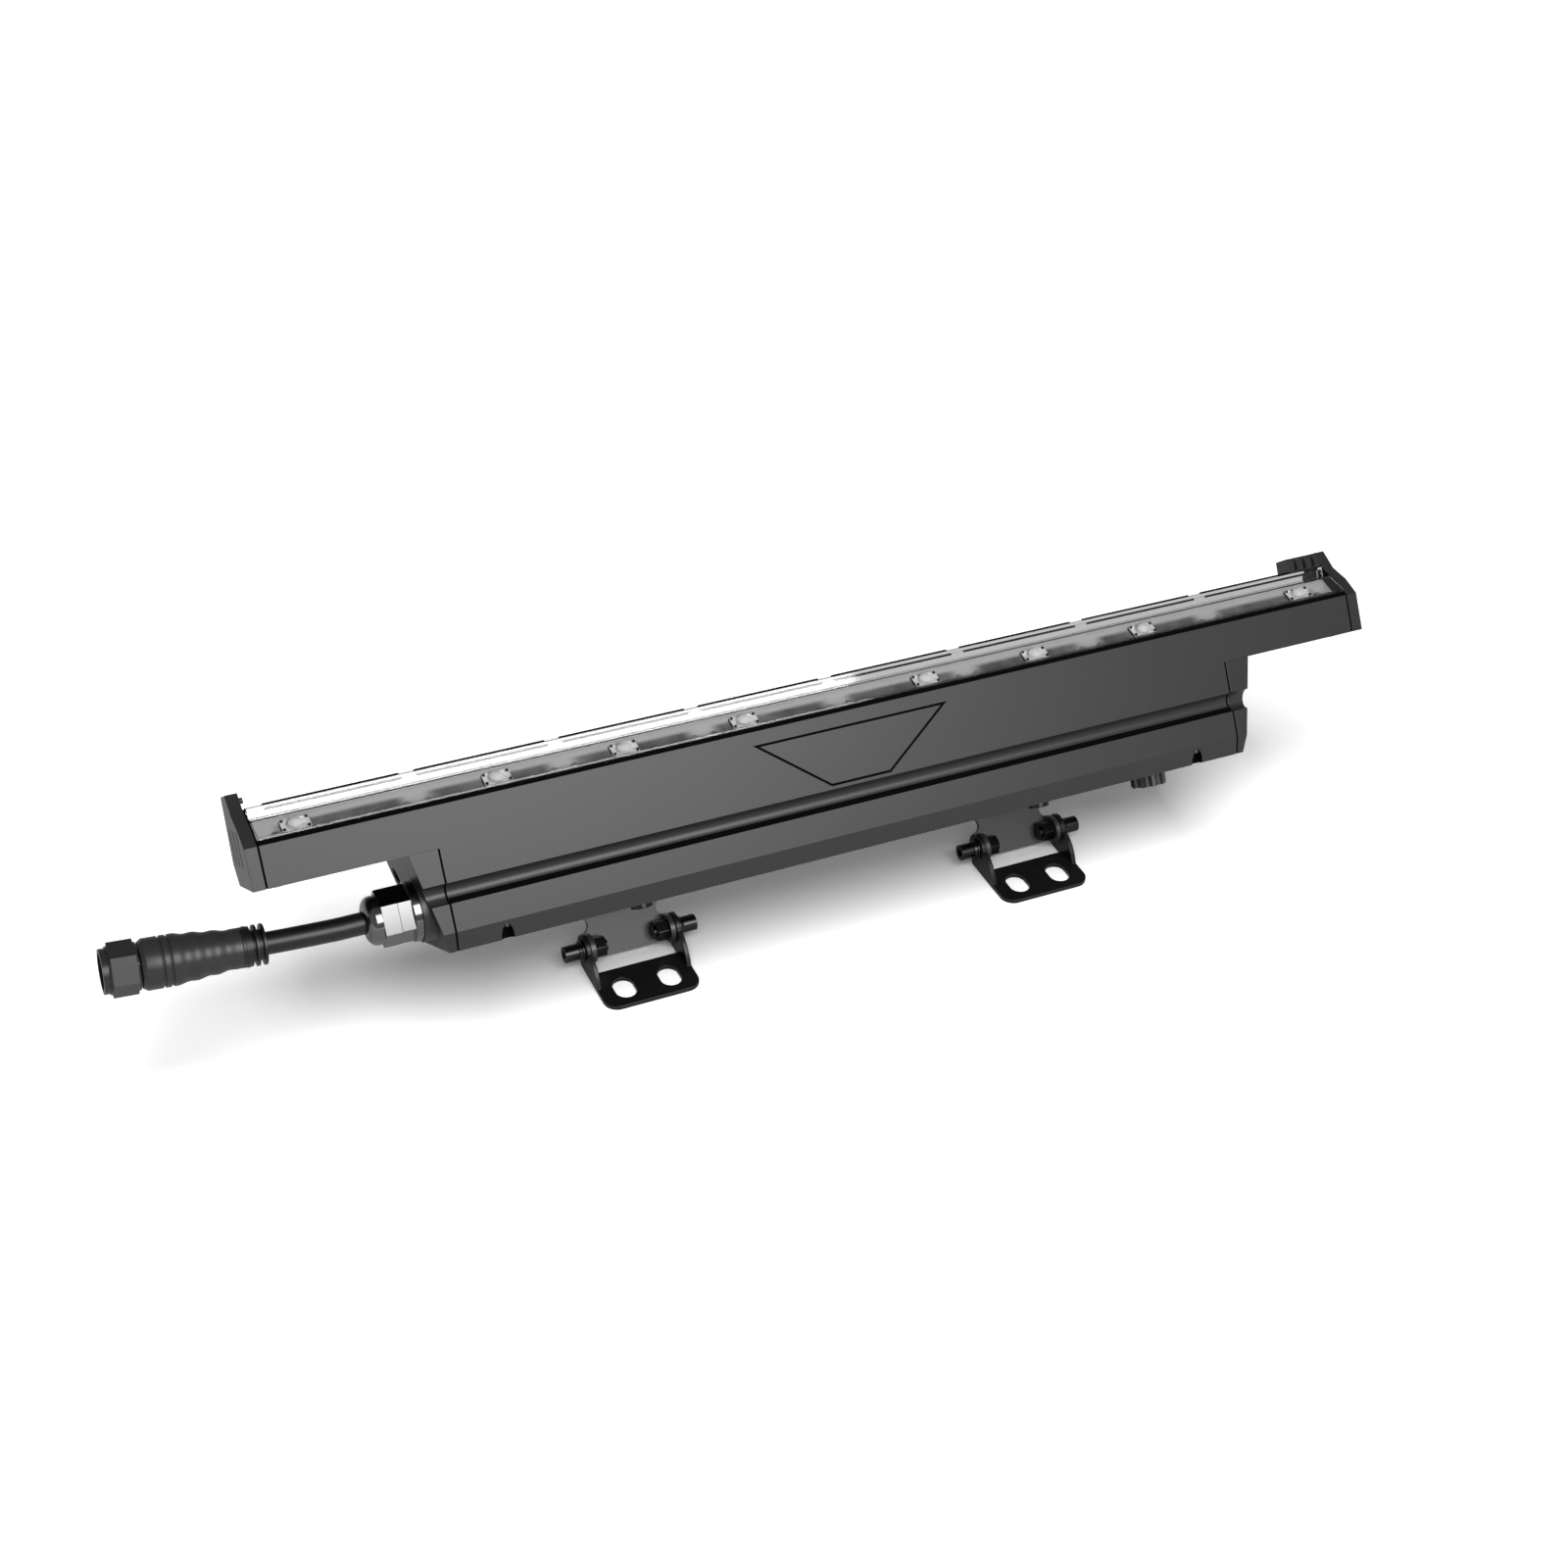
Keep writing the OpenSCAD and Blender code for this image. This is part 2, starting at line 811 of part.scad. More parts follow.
module housing_cap_gaskets() {
  color(black_c) in_lamp()
    both_ends()
      translate([housing_l / 2 + gasket_t / 2, 0, 0])
        along_x(gasket_t)
          difference() {
            housing_cap_outline(gasket_inset);
            translate([0, groove_z]) circle(groove_r + gasket_inset);
            difference() {
              housing_cap_outline(wall + gasket_inset);
              translate([0, groove_z]) circle(groove_r + wall + gasket_inset);
            }
          }
}

// Inside the driver housing

driver_l_share = 0.648;
driver_l = housing_l * driver_l_share;
driver_gap = 8;
driver_low = 5;
driver_over = 10;
driver_y = [driver_gap, housing_d - driver_gap];
driver_z = [driver_low, housing_h - driver_over];
driver_foot_l = 12;
terminal_l = 24;
terminal_in = 12.5;
terminal_x = housing_l / 2 - terminal_in;
terminal_w = 16;
terminal_h = 22;
lead_pitch = 1.25;
grommet_lip = 0.8;
grommet_bore = 5.2;

module driver_unit() {
  color("#8c8f92") in_lamp() {
    translate([-driver_l / 2, driver_y[0], driver_z[0]])
      cube([driver_l, driver_y[1] - driver_y[0], driver_z[1] - driver_z[0]]);
    for (x = [-driver_l / 4, driver_l / 4])
      translate([x - driver_foot_l / 2, driver_y[0], wall])
        cube([driver_foot_l, driver_y[1] - driver_y[0], driver_z[0] - wall + seat]);
  }
}

module terminal_block() {
  color("#d9d9d4") in_lamp()
    translate([-terminal_x, gland_y - terminal_w / 2, wall])
      cube([terminal_l, terminal_w, terminal_h]);
}

module led_leads() {
  color("#a33a32") in_lamp()
    for (x = [-lead_pitch, lead_pitch])
      translate([lead_x + x, lead_y, driver_z[1]])
        cylinder(h = shelf_at(lead_y - lead_d / 2, layers_t) - driver_z[1], d = lead_d, $fn = 24);
}

module lead_grommet() {
  lip_t = 1;
  color(black_c) in_lamp()
    translate([lead_x, lead_y, housing_h - lip_t])
      difference() {
        union() {
          cylinder(h = lip_t, d = grommet_d);
          cylinder(h = wall + 2 * lip_t, d = grommet_d - 2 * grommet_lip);
          translate([0, 0, wall + lip_t]) cylinder(h = lip_t, d = grommet_d);
        }
        translate([0, 0, -cut]) cylinder(h = wall + 2 * lip_t + 2 * cut, d = grommet_bore);
      }
}

// Vent plug under the housing

vent_in = 33.5;
vent_x = housing_l / 2 - vent_in;
vent_y = 24;
vent_d = 15.5;
vent_h = 6;
vent_thread_d = 9;
vent_thread_l = 5;
vent_seal_h = 1.2;
vent_rib_n = 9;
vent_rib_share = 0.22;

module vent_hole() {
  translate([vent_x, vent_y, -cut])
    cylinder(h = wall + 2 * cut, d = vent_thread_d + 2 * run_fit);
}

module vent_plug() {
  color(black_c) in_lamp()
    translate([vent_x, vent_y, -vent_seal_h]) {
      translate([0, 0, -vent_h])
        difference() {
          cylinder(h = vent_h, d = vent_d);
          for (i = [0 : vent_rib_n - 1])
            rotate([0, 0, i * 360 / vent_rib_n])
              translate([vent_d / 2, 0, -cut])
                cylinder(h = vent_h - wall / 2 + cut, d = vent_d * vent_rib_share, $fn = 24);
        }
      translate([0, 0, -seat])
        cylinder(h = vent_thread_l + seat, d = vent_thread_d);
    }
}

module vent_seal() {
  color("#333333") in_lamp()
    translate([vent_x, vent_y, -vent_seal_h])
      difference() {
        cylinder(h = vent_seal_h, d = vent_d - wall);
        translate([0, 0, -cut]) cylinder(h = vent_seal_h + 2 * cut, d = vent_thread_d + 2 * run_fit);
      }
}

// Cable gland on the left cap

locknut_t = 4;
gland_flange_d = 24;
gland_flange_t = 3;
gland_hex_l = 5.5;
gland_nose_d = 15;
gland_nose_l = 6.5;
gland_bore = 10;
gland_nut_hex_l = 6.5;
gland_dome_l = 6;
gland_dome_d = 19.6;
dome_side_share = 0.35;
gland_mouth_t = 1;
gland_x1 = boss_x + gland_flange_t;
gland_x2 = gland_x1 + gland_hex_l;
gland_x3 = gland_x2 + gland_nut_hex_l;
gland_end = gland_x3 + gland_dome_l;
locknut_x = housing_l / 2 + gasket_t + cap_cavity;

module at_gland() {
  in_lamp()
    translate([0, gland_y, gland_z])
      children();
}

module gland_locknut() {
  color(chrome_c) at_gland()
    difference() {
      hex_x(-locknut_x, -locknut_x + locknut_t, gland_af);
      rod_x(-locknut_x - cut, -locknut_x + locknut_t + cut, gland_thread_d + 2 * run_fit);
    }
}

module gland_body() {
  color(chrome_c) at_gland()
    difference() {
      union() {
        rod_x(-boss_x - seat, -locknut_x + locknut_t + apart, gland_thread_d);
        rod_x(-gland_x1, -boss_x, gland_flange_d);
        hex_x(-gland_x2, -gland_x1, gland_af);
        rod_x(-gland_x2 - gland_nose_l, -gland_x2, gland_nose_d);
      }
      rod_x(-gland_end, 0, gland_bore);
    }
}

module gland_nut() {
  dome_r = gland_dome_d / 2;
  color(chrome_c) at_gland()
    difference() {
      union() {
        hex_x(-gland_x3, -gland_x2 - seat, gland_af);
        translate([-gland_x3, 0, 0])
          rotate([0, -90, 0])
            rotate_extrude()
              polygon(concat(
                [[0, 0], [dome_r, 0]],
                [for (a = [0 : 15 : 75]) [
                  cable_d / 2 + (dome_r - cable_d / 2) * cos(a),
                  gland_dome_l * (dome_side_share + (1 - dome_side_share) * sin(a))
                ]],
                [[cable_d / 2, gland_dome_l], [0, gland_dome_l]]
              ));
      }
      rod_x(-gland_end + gland_mouth_t, -gland_x2 + cut, gland_nose_d + 2 * run_fit);
      rod_x(-gland_end - cut, -gland_x2, cable_d + 2 * apart);
    }
}

module gland_seal() {
  color(black_c) at_gland()
    difference() {
      rod_x(-gland_end + gland_mouth_t + seat, -gland_x2 - gland_nose_l - seat, gland_nose_d);
      rod_x(-gland_end, -gland_x2, cable_d + seat);
    }
}

module cable_inner() {
  color(black_c) at_gland()
    rod_x(-gland_end, -terminal_x, cable_d);
}

// Cable and connector. The route runs from the gland along and up, in the lamp's frame

route = [[0, 0, 0], [-10, 0, 0], [-20, 0, 0.4], [-30, 0, 0.9], [-38.5, 0, 1.4], [-54.14, 0, 2.48]];
free_l = 38.5;
free_rise = 1.4;
cable_sides = 12;

function ring(p, d) = [for (a = [0 : cable_sides - 1])
  [p[0], p[1] + d / 2 * sin(a * 360 / cable_sides), p[2] + d / 2 * cos(a * 360 / cable_sides)]];

module tube(path, d) {
  n = cable_sides;
  last = (len(path) - 1) * n;
  points = [for (p = path) each ring(p, d)];
  sides = [for (r = [0 : len(path) - 2], i = [0 : n - 1]) each [
    [r * n + i, r * n + (i + 1) % n, (r + 1) * n + i],
    [r * n + (i + 1) % n, (r + 1) * n + (i + 1) % n, (r + 1) * n + i]
  ]];
  ends = [[for (i = [n - 1 : -1 : 0]) i], [for (i = [0 : n - 1]) last + i]];
  polyhedron(points = points, faces = concat(sides, ends), convexity = 4);
}

module cable() {
  color(black_c) at_gland()
    translate([-gland_end, 0, 0])
      tube(route, cable_d);
}

boot_l = 9;
boot_disc_t = 1.1;
boot_disc_d = 16;
boot_band_t = 3.6;
boot_neck_d = 12;
cable_bore = 9.6;
cable_seat_t = 16;
wave_deep = 0.5;
wave_n = 3;
ring_w = 0.8;
ring_deep = 0.6;
spigot_d = 12;
spigot_l = 6.4;
stop_d = 13.4;
stop_t = 1.2;
nut_gap = 2.5;
nut_rear_t = 3;
nut_bore = 14.2;
nut_af = 18.5;
nut_end_d = 17.4;
nut_end_l = 2.4;
insert_d = 9;
insert_deep = 5;
shroud_d = 13;
shroud_l = 6;
shroud_bore = 10;
pin_d = 1.6;
pin_r = 2.6;
pin_n = 4;
pin_l = 5;
spigot_t = boot_l + grip_l;

// Places a piece on the connector's axis, its nose along minus X
module at_connector() {
  at_gland()
    translate([-gland_end - free_l, 0, free_rise])
      rotate([0, connector_bend, 0])
        children();
}

module connector_boot() {
  color(black_c) at_connector()
    difference() {
      union() {
        rod_x(-boot_l, 0, boot_neck_d);
        for (t = [0, boot_l * 0.32])
          rod_x(-t - boot_disc_t, -t, boot_disc_d);
        rod_x(-boot_l, -boot_l + boot_band_t, grip_tail_d);
        rod_x(-boot_l + boot_band_t / 3, -boot_l + boot_band_t * 2 / 3, boot_disc_d);
      }
      rod_x(-boot_l - cut, cut, cable_bore);
    }
}

module grip_profile() {
  r = grip_d / 2;
  tail_r = grip_tail_d / 2;
  steps = 8;
  waves = steps * wave_n;
  polygon(concat(
    [[0, 0], [tail_r, 0]],
    [for (i = [0 : waves]) [
      tail_r + (r - tail_r) * i / waves - wave_deep * (1 - cos(i * 360 / steps)) / 2,
      grip_l * (0.05 + 0.6 * i / waves)
    ]],
    [
      [r, grip_l * 0.7], [r - ring_deep, grip_l * 0.7], [r - ring_deep, grip_l * 0.7 + ring_w],
      [r, grip_l * 0.7 + ring_w], [r, grip_l * 0.78], [r - ring_deep, grip_l * 0.78],
      [r - ring_deep, grip_l * 0.78 + ring_w], [r, grip_l * 0.78 + ring_w],
      [r, grip_l * 0.95], [r - ring_deep * 2, grip_l], [0, grip_l]
    ]
  ));
}

module connector_body() {
  color("#2b2b2d") at_connector()
    difference() {
      union() {
        translate([-boot_l, 0, 0]) rotate([0, -90, 0]) rotate_extrude() grip_profile();
        rod_x(-spigot_t - spigot_l, -spigot_t + cut, spigot_d);
        rod_x(-spigot_t - spigot_l + nut_gap - stop_t, -spigot_t - spigot_l + nut_gap, stop_d);
      }
      rod_x(-cable_seat_t, 0, cable_bore);
      rod_x(-spigot_t - spigot_l - cut, -spigot_t + insert_deep, insert_d + 2 * run_fit);
    }
}

module connector_insert() {
  color("#202022") at_connector()
    difference() {
      union() {
        rod_x(-spigot_t - spigot_l - seat, -spigot_t + insert_deep - seat, insert_d);
        rod_x(-spigot_t - spigot_l - shroud_l, -spigot_t - spigot_l, shroud_d);
      }
      rod_x(-spigot_t - spigot_l - shroud_l - cut, -spigot_t - spigot_l - shroud_l / 3, shroud_bore);
      at_pins() rod_x(-spigot_t - spigot_l - shroud_l, -spigot_t, pin_d + 2 * run_fit);
    }
}

module at_pins() {
  for (i = [0 : pin_n - 1])
    rotate([i * 360 / pin_n, 0, 0])
      translate([0, 0, pin_r])
        children();
}

module connector_pins() {
  color("#c8a24a") at_connector()
    at_pins() rod_x(-spigot_t - spigot_l - pin_l, -spigot_t - seat, pin_d);
}

module connector_oring() {
  color("#333333") at_connector()
    difference() {
      rod_x(-spigot_t - spigot_l, -spigot_t - spigot_l + nut_gap - stop_t - seat, stop_d - seat);
      rod_x(-spigot_t - spigot_l - cut, -spigot_t, spigot_d + seat);
    }
}

module coupling_nut() {
  x0 = spigot_t + spigot_l - nut_gap - nut_rear_t - apart;
  chamfer_d = nut_af / cos(30);
  color("#3a3a3c") at_connector()
    difference() {
      union() {
        rod_x(-x0 - nut_l, -x0 - nut_l + nut_end_l + seat, nut_end_d);
        intersection() {
          hex_x(-x0 - nut_l + nut_end_l, -x0, nut_af);
          union() {
            rod_x(-x0 - nut_l + nut_end_l + ring_w, -x0 - ring_w, chamfer_d);
            rod_x(-x0 - nut_l + nut_end_l, -x0, nut_af);
          }
        }
      }
      rod_x(-x0 - nut_l - cut, -x0 + cut, spigot_d + 2 * run_fit);
      rod_x(-x0 - nut_l - cut, -x0 - nut_rear_t, nut_bore);
    }
}

// Hinged yokes under the housing

yoke_w = base_w - 2 * sheet_t - 2 * apart;
yoke_front = 18;
web_back = 5;
web_low = 5.5;
ear_r = 6;
notch_r = 3.4;
notch_z = 11.5;
yoke_screw_d = 5;
yoke_screw_front = 26;
yoke_screw_back = 9;
yoke_screw_ys = [yoke_screw_front, housing_d - yoke_screw_back];
yoke_screw_head_d = 9;
yoke_screw_head_h = 2.8;
yoke_screw_out = 1.4;

module at_yoke_screws() {
  for (side = [-1, 1], y = yoke_screw_ys)
    translate([side * bracket_x - bracket_shift, y, 0])
      children();
}

module yoke_holes() {
  at_yoke_screws()
    translate([0, 0, -sheet_t - cut])
      cylinder(h = sheet_t + wall + 2 * cut, d = yoke_screw_d + 2 * run_fit);
}

module yoke_screws(side) {
  color(chrome_c) in_lamp()
    for (y = yoke_screw_ys)
      translate([side * bracket_x - bracket_shift, y, -sheet_t]) {
        translate([0, 0, -seat]) cylinder(h = sheet_t + wall + yoke_screw_out + seat, d = yoke_screw_d);
        translate([0, 0, -yoke_screw_head_h])
          difference() {
            cylinder(h = yoke_screw_head_h, d = yoke_screw_head_d);
            translate([0, 0, -cut])
              cylinder(h = yoke_screw_head_h / 2 + cut, d = yoke_screw_d * 2 / 3, $fn = 6);
          }
      }
}

module yoke(side) {
  web_y = hinge_back + web_back;
  color(black_c) in_lamp()
    difference() {
      translate([side * bracket_x - bracket_shift, 0, 0]) {
        translate([-yoke_w / 2, yoke_front, -sheet_t])
          cube([yoke_w, web_y + sheet_t - yoke_front, sheet_t]);
        difference() {
          translate([-yoke_w / 2, web_y, -hinge_drop - web_low])
            cube([yoke_w, sheet_t, hinge_drop + web_low]);
          for (x = [-yoke_w / 2, yoke_w / 2])
            translate([x, web_y - cut, -notch_z])
              rotate([-90, 0, 0])
                cylinder(h = sheet_t + 2 * cut, r = notch_r);
        }
        for (x = [-yoke_w / 2, yoke_w / 2 - sheet_t])
          difference() {
            union() {
              translate([x, hinge_back, -hinge_drop]) rod_x(0, sheet_t, 2 * ear_r);
              translate([x, hinge_back, -hinge_drop - web_low])
                cube([sheet_t, web_back + seat, web_low + ear_r]);
            }
            translate([x - cut, hinge_back, -hinge_drop]) rod_x(0, sheet_t + 2 * cut, bolt_d + 2 * run_fit);
          }
      }
      yoke_holes();
    }
}

module yoke_left() { yoke(-1); }
module yoke_right() { yoke(1); }
module yoke_screws_left() { yoke_screws(-1); }
module yoke_screws_right() { yoke_screws(1); }

// Base brackets, which lie flat on the ground

base_front_share = 0.457;
base_front = base_d * base_front_share;
base_rear = base_d - base_front;
corner_r = 6;
base_ear_r = 6.5;
base_ear_front = 2.5;

module base_bracket(x) {
  color(black_c)
    translate([x, 0, 0])
      difference() {
        union() {
          translate([-base_w / 2, -base_front + corner_r, 0])
            cube([base_w, base_d - corner_r, sheet_t]);
          translate([-base_w / 2 + corner_r, -base_front, 0])
            cube([base_w - 2 * corner_r, corner_r + seat, sheet_t]);
          for (side = [-1, 1])
            translate([side * (base_w / 2 - corner_r), -base_front + corner_r, 0])
              cylinder(h = sheet_t, r = corner_r);
          for (side = [-base_w / 2, base_w / 2 - sheet_t])
            translate([side, 0, 0])
              rotate([90, 0, 90])
                linear_extrude(sheet_t) {
                  polygon([
                    [base_ear_front, 0], [hinge_y + base_ear_r / 3, 0],
                    [hinge_y + base_ear_r, hinge_z], [hinge_y, hinge_z + base_ear_r / 2],
                    [hinge_y - base_ear_r * 0.9, hinge_z + base_ear_r * 0.4],
                    [hinge_y * 0.5, hinge_z * 1.1], [hinge_y * 0.34, hinge_z * 0.87],
                    [hinge_y * 0.22, hinge_z * 0.57], [base_ear_front, sheet_t]
                  ]);
                  translate([hinge_y, hinge_z]) circle(base_ear_r);
                }
        }
        for (side = [-1, 1])
          translate([side * slot_pitch / 2, 0, 0]) {
            for (end = [-1, 1])
              translate([0, end * (slot_l - slot_w) / 2, -cut])
                cylinder(h = sheet_t + 2 * cut, d = slot_w);
            translate([-slot_w / 2, -(slot_l - slot_w) / 2, -cut])
              cube([slot_w, slot_l - slot_w, sheet_t + 2 * cut]);
          }
        translate([0, hinge_y, hinge_z])
          rod_x(-base_w / 2 - cut, base_w / 2 + cut, bolt_d + 2 * run_fit);
      }
}

module base_bracket_left() { base_bracket(0); }
module base_bracket_right() { base_bracket(2 * bracket_x); }

// Hinge bolts, their nuts and washers

washer_t = 1;
washer_d = 9.5;
spring_t = 1.3;
spring_d = 7.4;
bolt_head_d = 7;
bolt_head_l = 6;
bolt_socket_share = 0.5;
nut_af_m5 = 8;
nut_t_m5 = 5;
bolt_out = 1;
ear_out = base_w / 2;
nut_face = base_w / 2 - 2 * sheet_t - 2 * apart;

module at_hinge(x) {
  translate([x, hinge_y, hinge_z]) {
    children();
    mirror([1, 0, 0]) children();
  }
}

module hinge_bolts(x) {
  head_x = ear_out + washer_t + spring_t;
  color("#2a2a2c") at_hinge(x)
    difference() {
      union() {
        rod_x(nut_face - nut_t_m5 - bolt_out, head_x + seat, bolt_d);
        rod_x(head_x, head_x + bolt_head_l, bolt_head_d);
      }
      hex_x(head_x + bolt_head_l * bolt_socket_share, head_x + bolt_head_l + cut, bolt_head_d * bolt_socket_share);
    }
}

module hinge_nuts(x) {
  color("#2a2a2c") at_hinge(x)
    difference() {
      hex_x(nut_face - nut_t_m5, nut_face, nut_af_m5);
      rod_x(nut_face - nut_t_m5 - cut, nut_face + cut, bolt_d + 2 * run_fit);
    }
}

module hinge_washers(x) {
  color("#3a3a3c") at_hinge(x)
    difference() {
      union() {
        rod_x(ear_out, ear_out + washer_t, washer_d);
        rod_x(ear_out + washer_t - seat, ear_out + washer_t + spring_t, spring_d);
      }
      rod_x(ear_out - cut, ear_out + washer_t + spring_t + cut, bolt_d + 2 * run_fit);
    }
}

module hinge_bolts_left() { hinge_bolts(0); }
module hinge_bolts_right() { hinge_bolts(2 * bracket_x); }
module hinge_nuts_left() { hinge_nuts(0); }
module hinge_nuts_right() { hinge_nuts(2 * bracket_x); }
module hinge_washers_left() { hinge_washers(0); }
module hinge_washers_right() { hinge_washers(2 * bracket_x); }

main_extrusion();
driver_cover();
seam_seal();
inlay_panel();
cover_gasket();
clear_cover();
cover_clips();
reflector();
led_boards();
led_packages();
led_lenses();
board_screws();
head_end_cap_left();
head_end_cap_right();
head_cap_gaskets();
head_cap_screws();
housing_end_cap_left();
housing_end_cap_right();
housing_cap_gaskets();
housing_cap_screws();
driver_cover_screws();
driver_unit();
terminal_block();
led_leads();
lead_grommet();
vent_plug();
vent_seal();
gland_locknut();
gland_body();
gland_seal();
gland_nut();
cable_inner();
cable();
connector_boot();
connector_body();
connector_insert();
connector_pins();
connector_oring();
coupling_nut();
yoke_left();
yoke_right();
yoke_screws_left();
yoke_screws_right();
base_bracket_left();
base_bracket_right();
hinge_bolts_left();
hinge_bolts_right();
hinge_nuts_left();
hinge_nuts_right();
hinge_washers_left();
hinge_washers_right();
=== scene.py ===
"""Looks of the linear light: finishes, fine parts, floor, lights and camera."""
import json
import logging
import math
from collections.abc import Callable, Sequence
from dataclasses import dataclass
from enum import Enum

import bmesh
import bpy
from mathutils import Matrix, Vector


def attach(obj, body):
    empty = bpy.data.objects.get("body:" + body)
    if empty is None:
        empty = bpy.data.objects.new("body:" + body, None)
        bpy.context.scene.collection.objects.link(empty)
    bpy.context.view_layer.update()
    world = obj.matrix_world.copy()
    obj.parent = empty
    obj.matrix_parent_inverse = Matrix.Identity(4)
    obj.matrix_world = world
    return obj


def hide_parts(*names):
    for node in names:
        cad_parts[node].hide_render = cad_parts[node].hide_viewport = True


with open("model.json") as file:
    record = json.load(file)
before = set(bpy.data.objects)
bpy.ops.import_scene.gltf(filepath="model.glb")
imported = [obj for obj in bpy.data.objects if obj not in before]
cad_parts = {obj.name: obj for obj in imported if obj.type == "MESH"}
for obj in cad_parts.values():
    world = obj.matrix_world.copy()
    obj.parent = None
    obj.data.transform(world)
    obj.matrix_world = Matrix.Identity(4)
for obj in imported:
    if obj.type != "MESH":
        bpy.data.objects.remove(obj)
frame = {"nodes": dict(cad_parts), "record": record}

LOG = logging.getLogger("linear_light")
MM = 0.001
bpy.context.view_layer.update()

Place = tuple[float, float, float]
Profile = Sequence[tuple[float, float]]
Mesh = bpy.types.Mesh
Piece = bpy.types.Object
Material = bpy.types.Material
Tree = bpy.types.NodeTree
Socket = bpy.types.NodeSocket
Shape = bmesh.types.BMesh
Ring = list[bmesh.types.BMVert]


class Body(Enum):
    """The bodies that the pieces ride on."""

    BASE_LEFT = "base_left"
    BASE_RIGHT = "base_right"
    LAMP = "lamp"
    NUT = "nut"


@dataclass(frozen=True)
class LampSeat:
    """Where the lamp sits on its hinge, in millimetres and degrees."""

    bracket_x: float = 95.0
    hinge_y: float = 19.5
    hinge_z: float = 10.0
    hinge_back: float = 52.0
    hinge_drop: float = 20.5
    lean: float = 32.0

    def matrix(self) -> Matrix:
        """Turn from millimetres in the lamp's own frame to metres in the row frame."""
        seat = Matrix.Translation(Vector((self.bracket_x, self.hinge_y, self.hinge_z)))
        turn = Matrix.Rotation(-math.radians(self.lean), 4, "X")
        back = Matrix.Translation(Vector((0.0, -self.hinge_back, self.hinge_drop)))
        return Matrix.Scale(MM, 4) @ seat @ turn @ back

    def point(self, x: float, y: float, z: float) -> Vector:
        """Place a point given in millimetres in the lamp's frame."""
        return self.matrix() @ Vector((x, y, z))


SEAT = LampSeat()


def linear(hex_colour: str) -> tuple[float, float, float, float]:
    """Turn an sRGB hex colour into linear light.

    Args:
        hex_colour: Colour as #rrggbb.

    Returns:
        Red, green, blue and 1 for a node socket.
    """
    parts = [int(hex_colour[i:i + 2], 16) / 255 for i in (1, 3, 5)]
    lin = [p / 12.92 if p <= 0.04045 else ((p + 0.055) / 1.055) ** 2.4 for p in parts]
    return (lin[0], lin[1], lin[2], 1.0)


def add_node(tree: Tree, kind: str, values: dict | None = None,
             links: dict | None = None, **settings: object) -> bpy.types.Node:
    """Add one node with its settings, socket values and incoming links.

    Args:
        tree: Tree that takes the node.
        kind: Type name of the node.
        values: Input socket name or index to its value.
        links: Input socket name or index to the output that feeds it.
        **settings: Properties of the node itself.

    Returns:
        The new node.
    """
    node = tree.nodes.new(kind)
    for name, value in settings.items():
        setattr(node, name, value)
    for key, value in (values or {}).items():
        node.inputs[key].default_value = value
    for key, socket in (links or {}).items():
        tree.links.new(socket, node.inputs[key])
    return node


def new_material(name: str) -> tuple[Material, Tree, Socket]:
    """Make an empty node material and give it with its tree and its Object coordinates."""
    material = bpy.data.materials.new(name)
    material.use_nodes = True
    tree = material.node_tree
    tree.nodes.clear()
    return material, tree, add_node(tree, "ShaderNodeTexCoord").outputs["Object"]


def surfaced(material: Material, shader: bpy.types.Node) -> Material:
    """Lead a shader to the surface of its material and give the material."""
    add_node(material.node_tree, "ShaderNodeOutputMaterial", None, {"Surface": shader.outputs["BSDF"]})
    return material


def calc(tree: Tree, operation: str, *terms: Socket | float) -> Socket:
    """Add a math node.

    Args:
        tree: Tree that takes the node.
        operation: What it does.
        *terms: A socket or a number for each of its inputs.

    Returns:
        Its result.
    """
    values = {k: term for k, term in enumerate(terms) if isinstance(term, float)}
    links = {k: term for k, term in enumerate(terms) if k not in values}
    return add_node(tree, "ShaderNodeMath", values, links, operation=operation).outputs[0]


def ramp(tree: Tree, value: Socket, start: float, end: float, low: float, high: float,
         kind: str = "LINEAR") -> Socket:
    """Map a value from one range onto another.

    Args:
        tree: Tree that takes the node.
        value: Value that runs from start to end.
        start: Where the value starts.
        end: Where it ends.
        low: Result at the start.
        high: Result at the end.
        kind: How the result runs between them.

    Returns:
        The result, held between low and high.
    """
    sizes = {"From Min": start, "From Max": end, "To Min": low, "To Max": high}
    return add_node(tree, "ShaderNodeMapRange", sizes, {"Value": value},
                    interpolation_type=kind).outputs["Result"]


def noise(tree: Tree, place: Socket, scale: float, detail: float = 2.0, roughness: float = 0.5) -> Socket:
    """Add a noise whose scale is in cells per metre, and give its height."""
    sizes = {"Scale": scale, "Detail": detail, "Roughness": roughness}
    return add_node(tree, "ShaderNodeTexNoise", sizes, {"Vector": place}).outputs["Fac"]


def blend(tree: Tree, share: Socket, none: str, full: str) -> Socket:
    """Mix two sRGB hex colours by a share and give the colour."""
    mix = add_node(tree, "ShaderNodeMix", None, {"Factor": share}, data_type="RGBA")
    mix.inputs["A"].default_value = linear(none)
    mix.inputs["B"].default_value = linear(full)
    return mix.outputs["Result"]


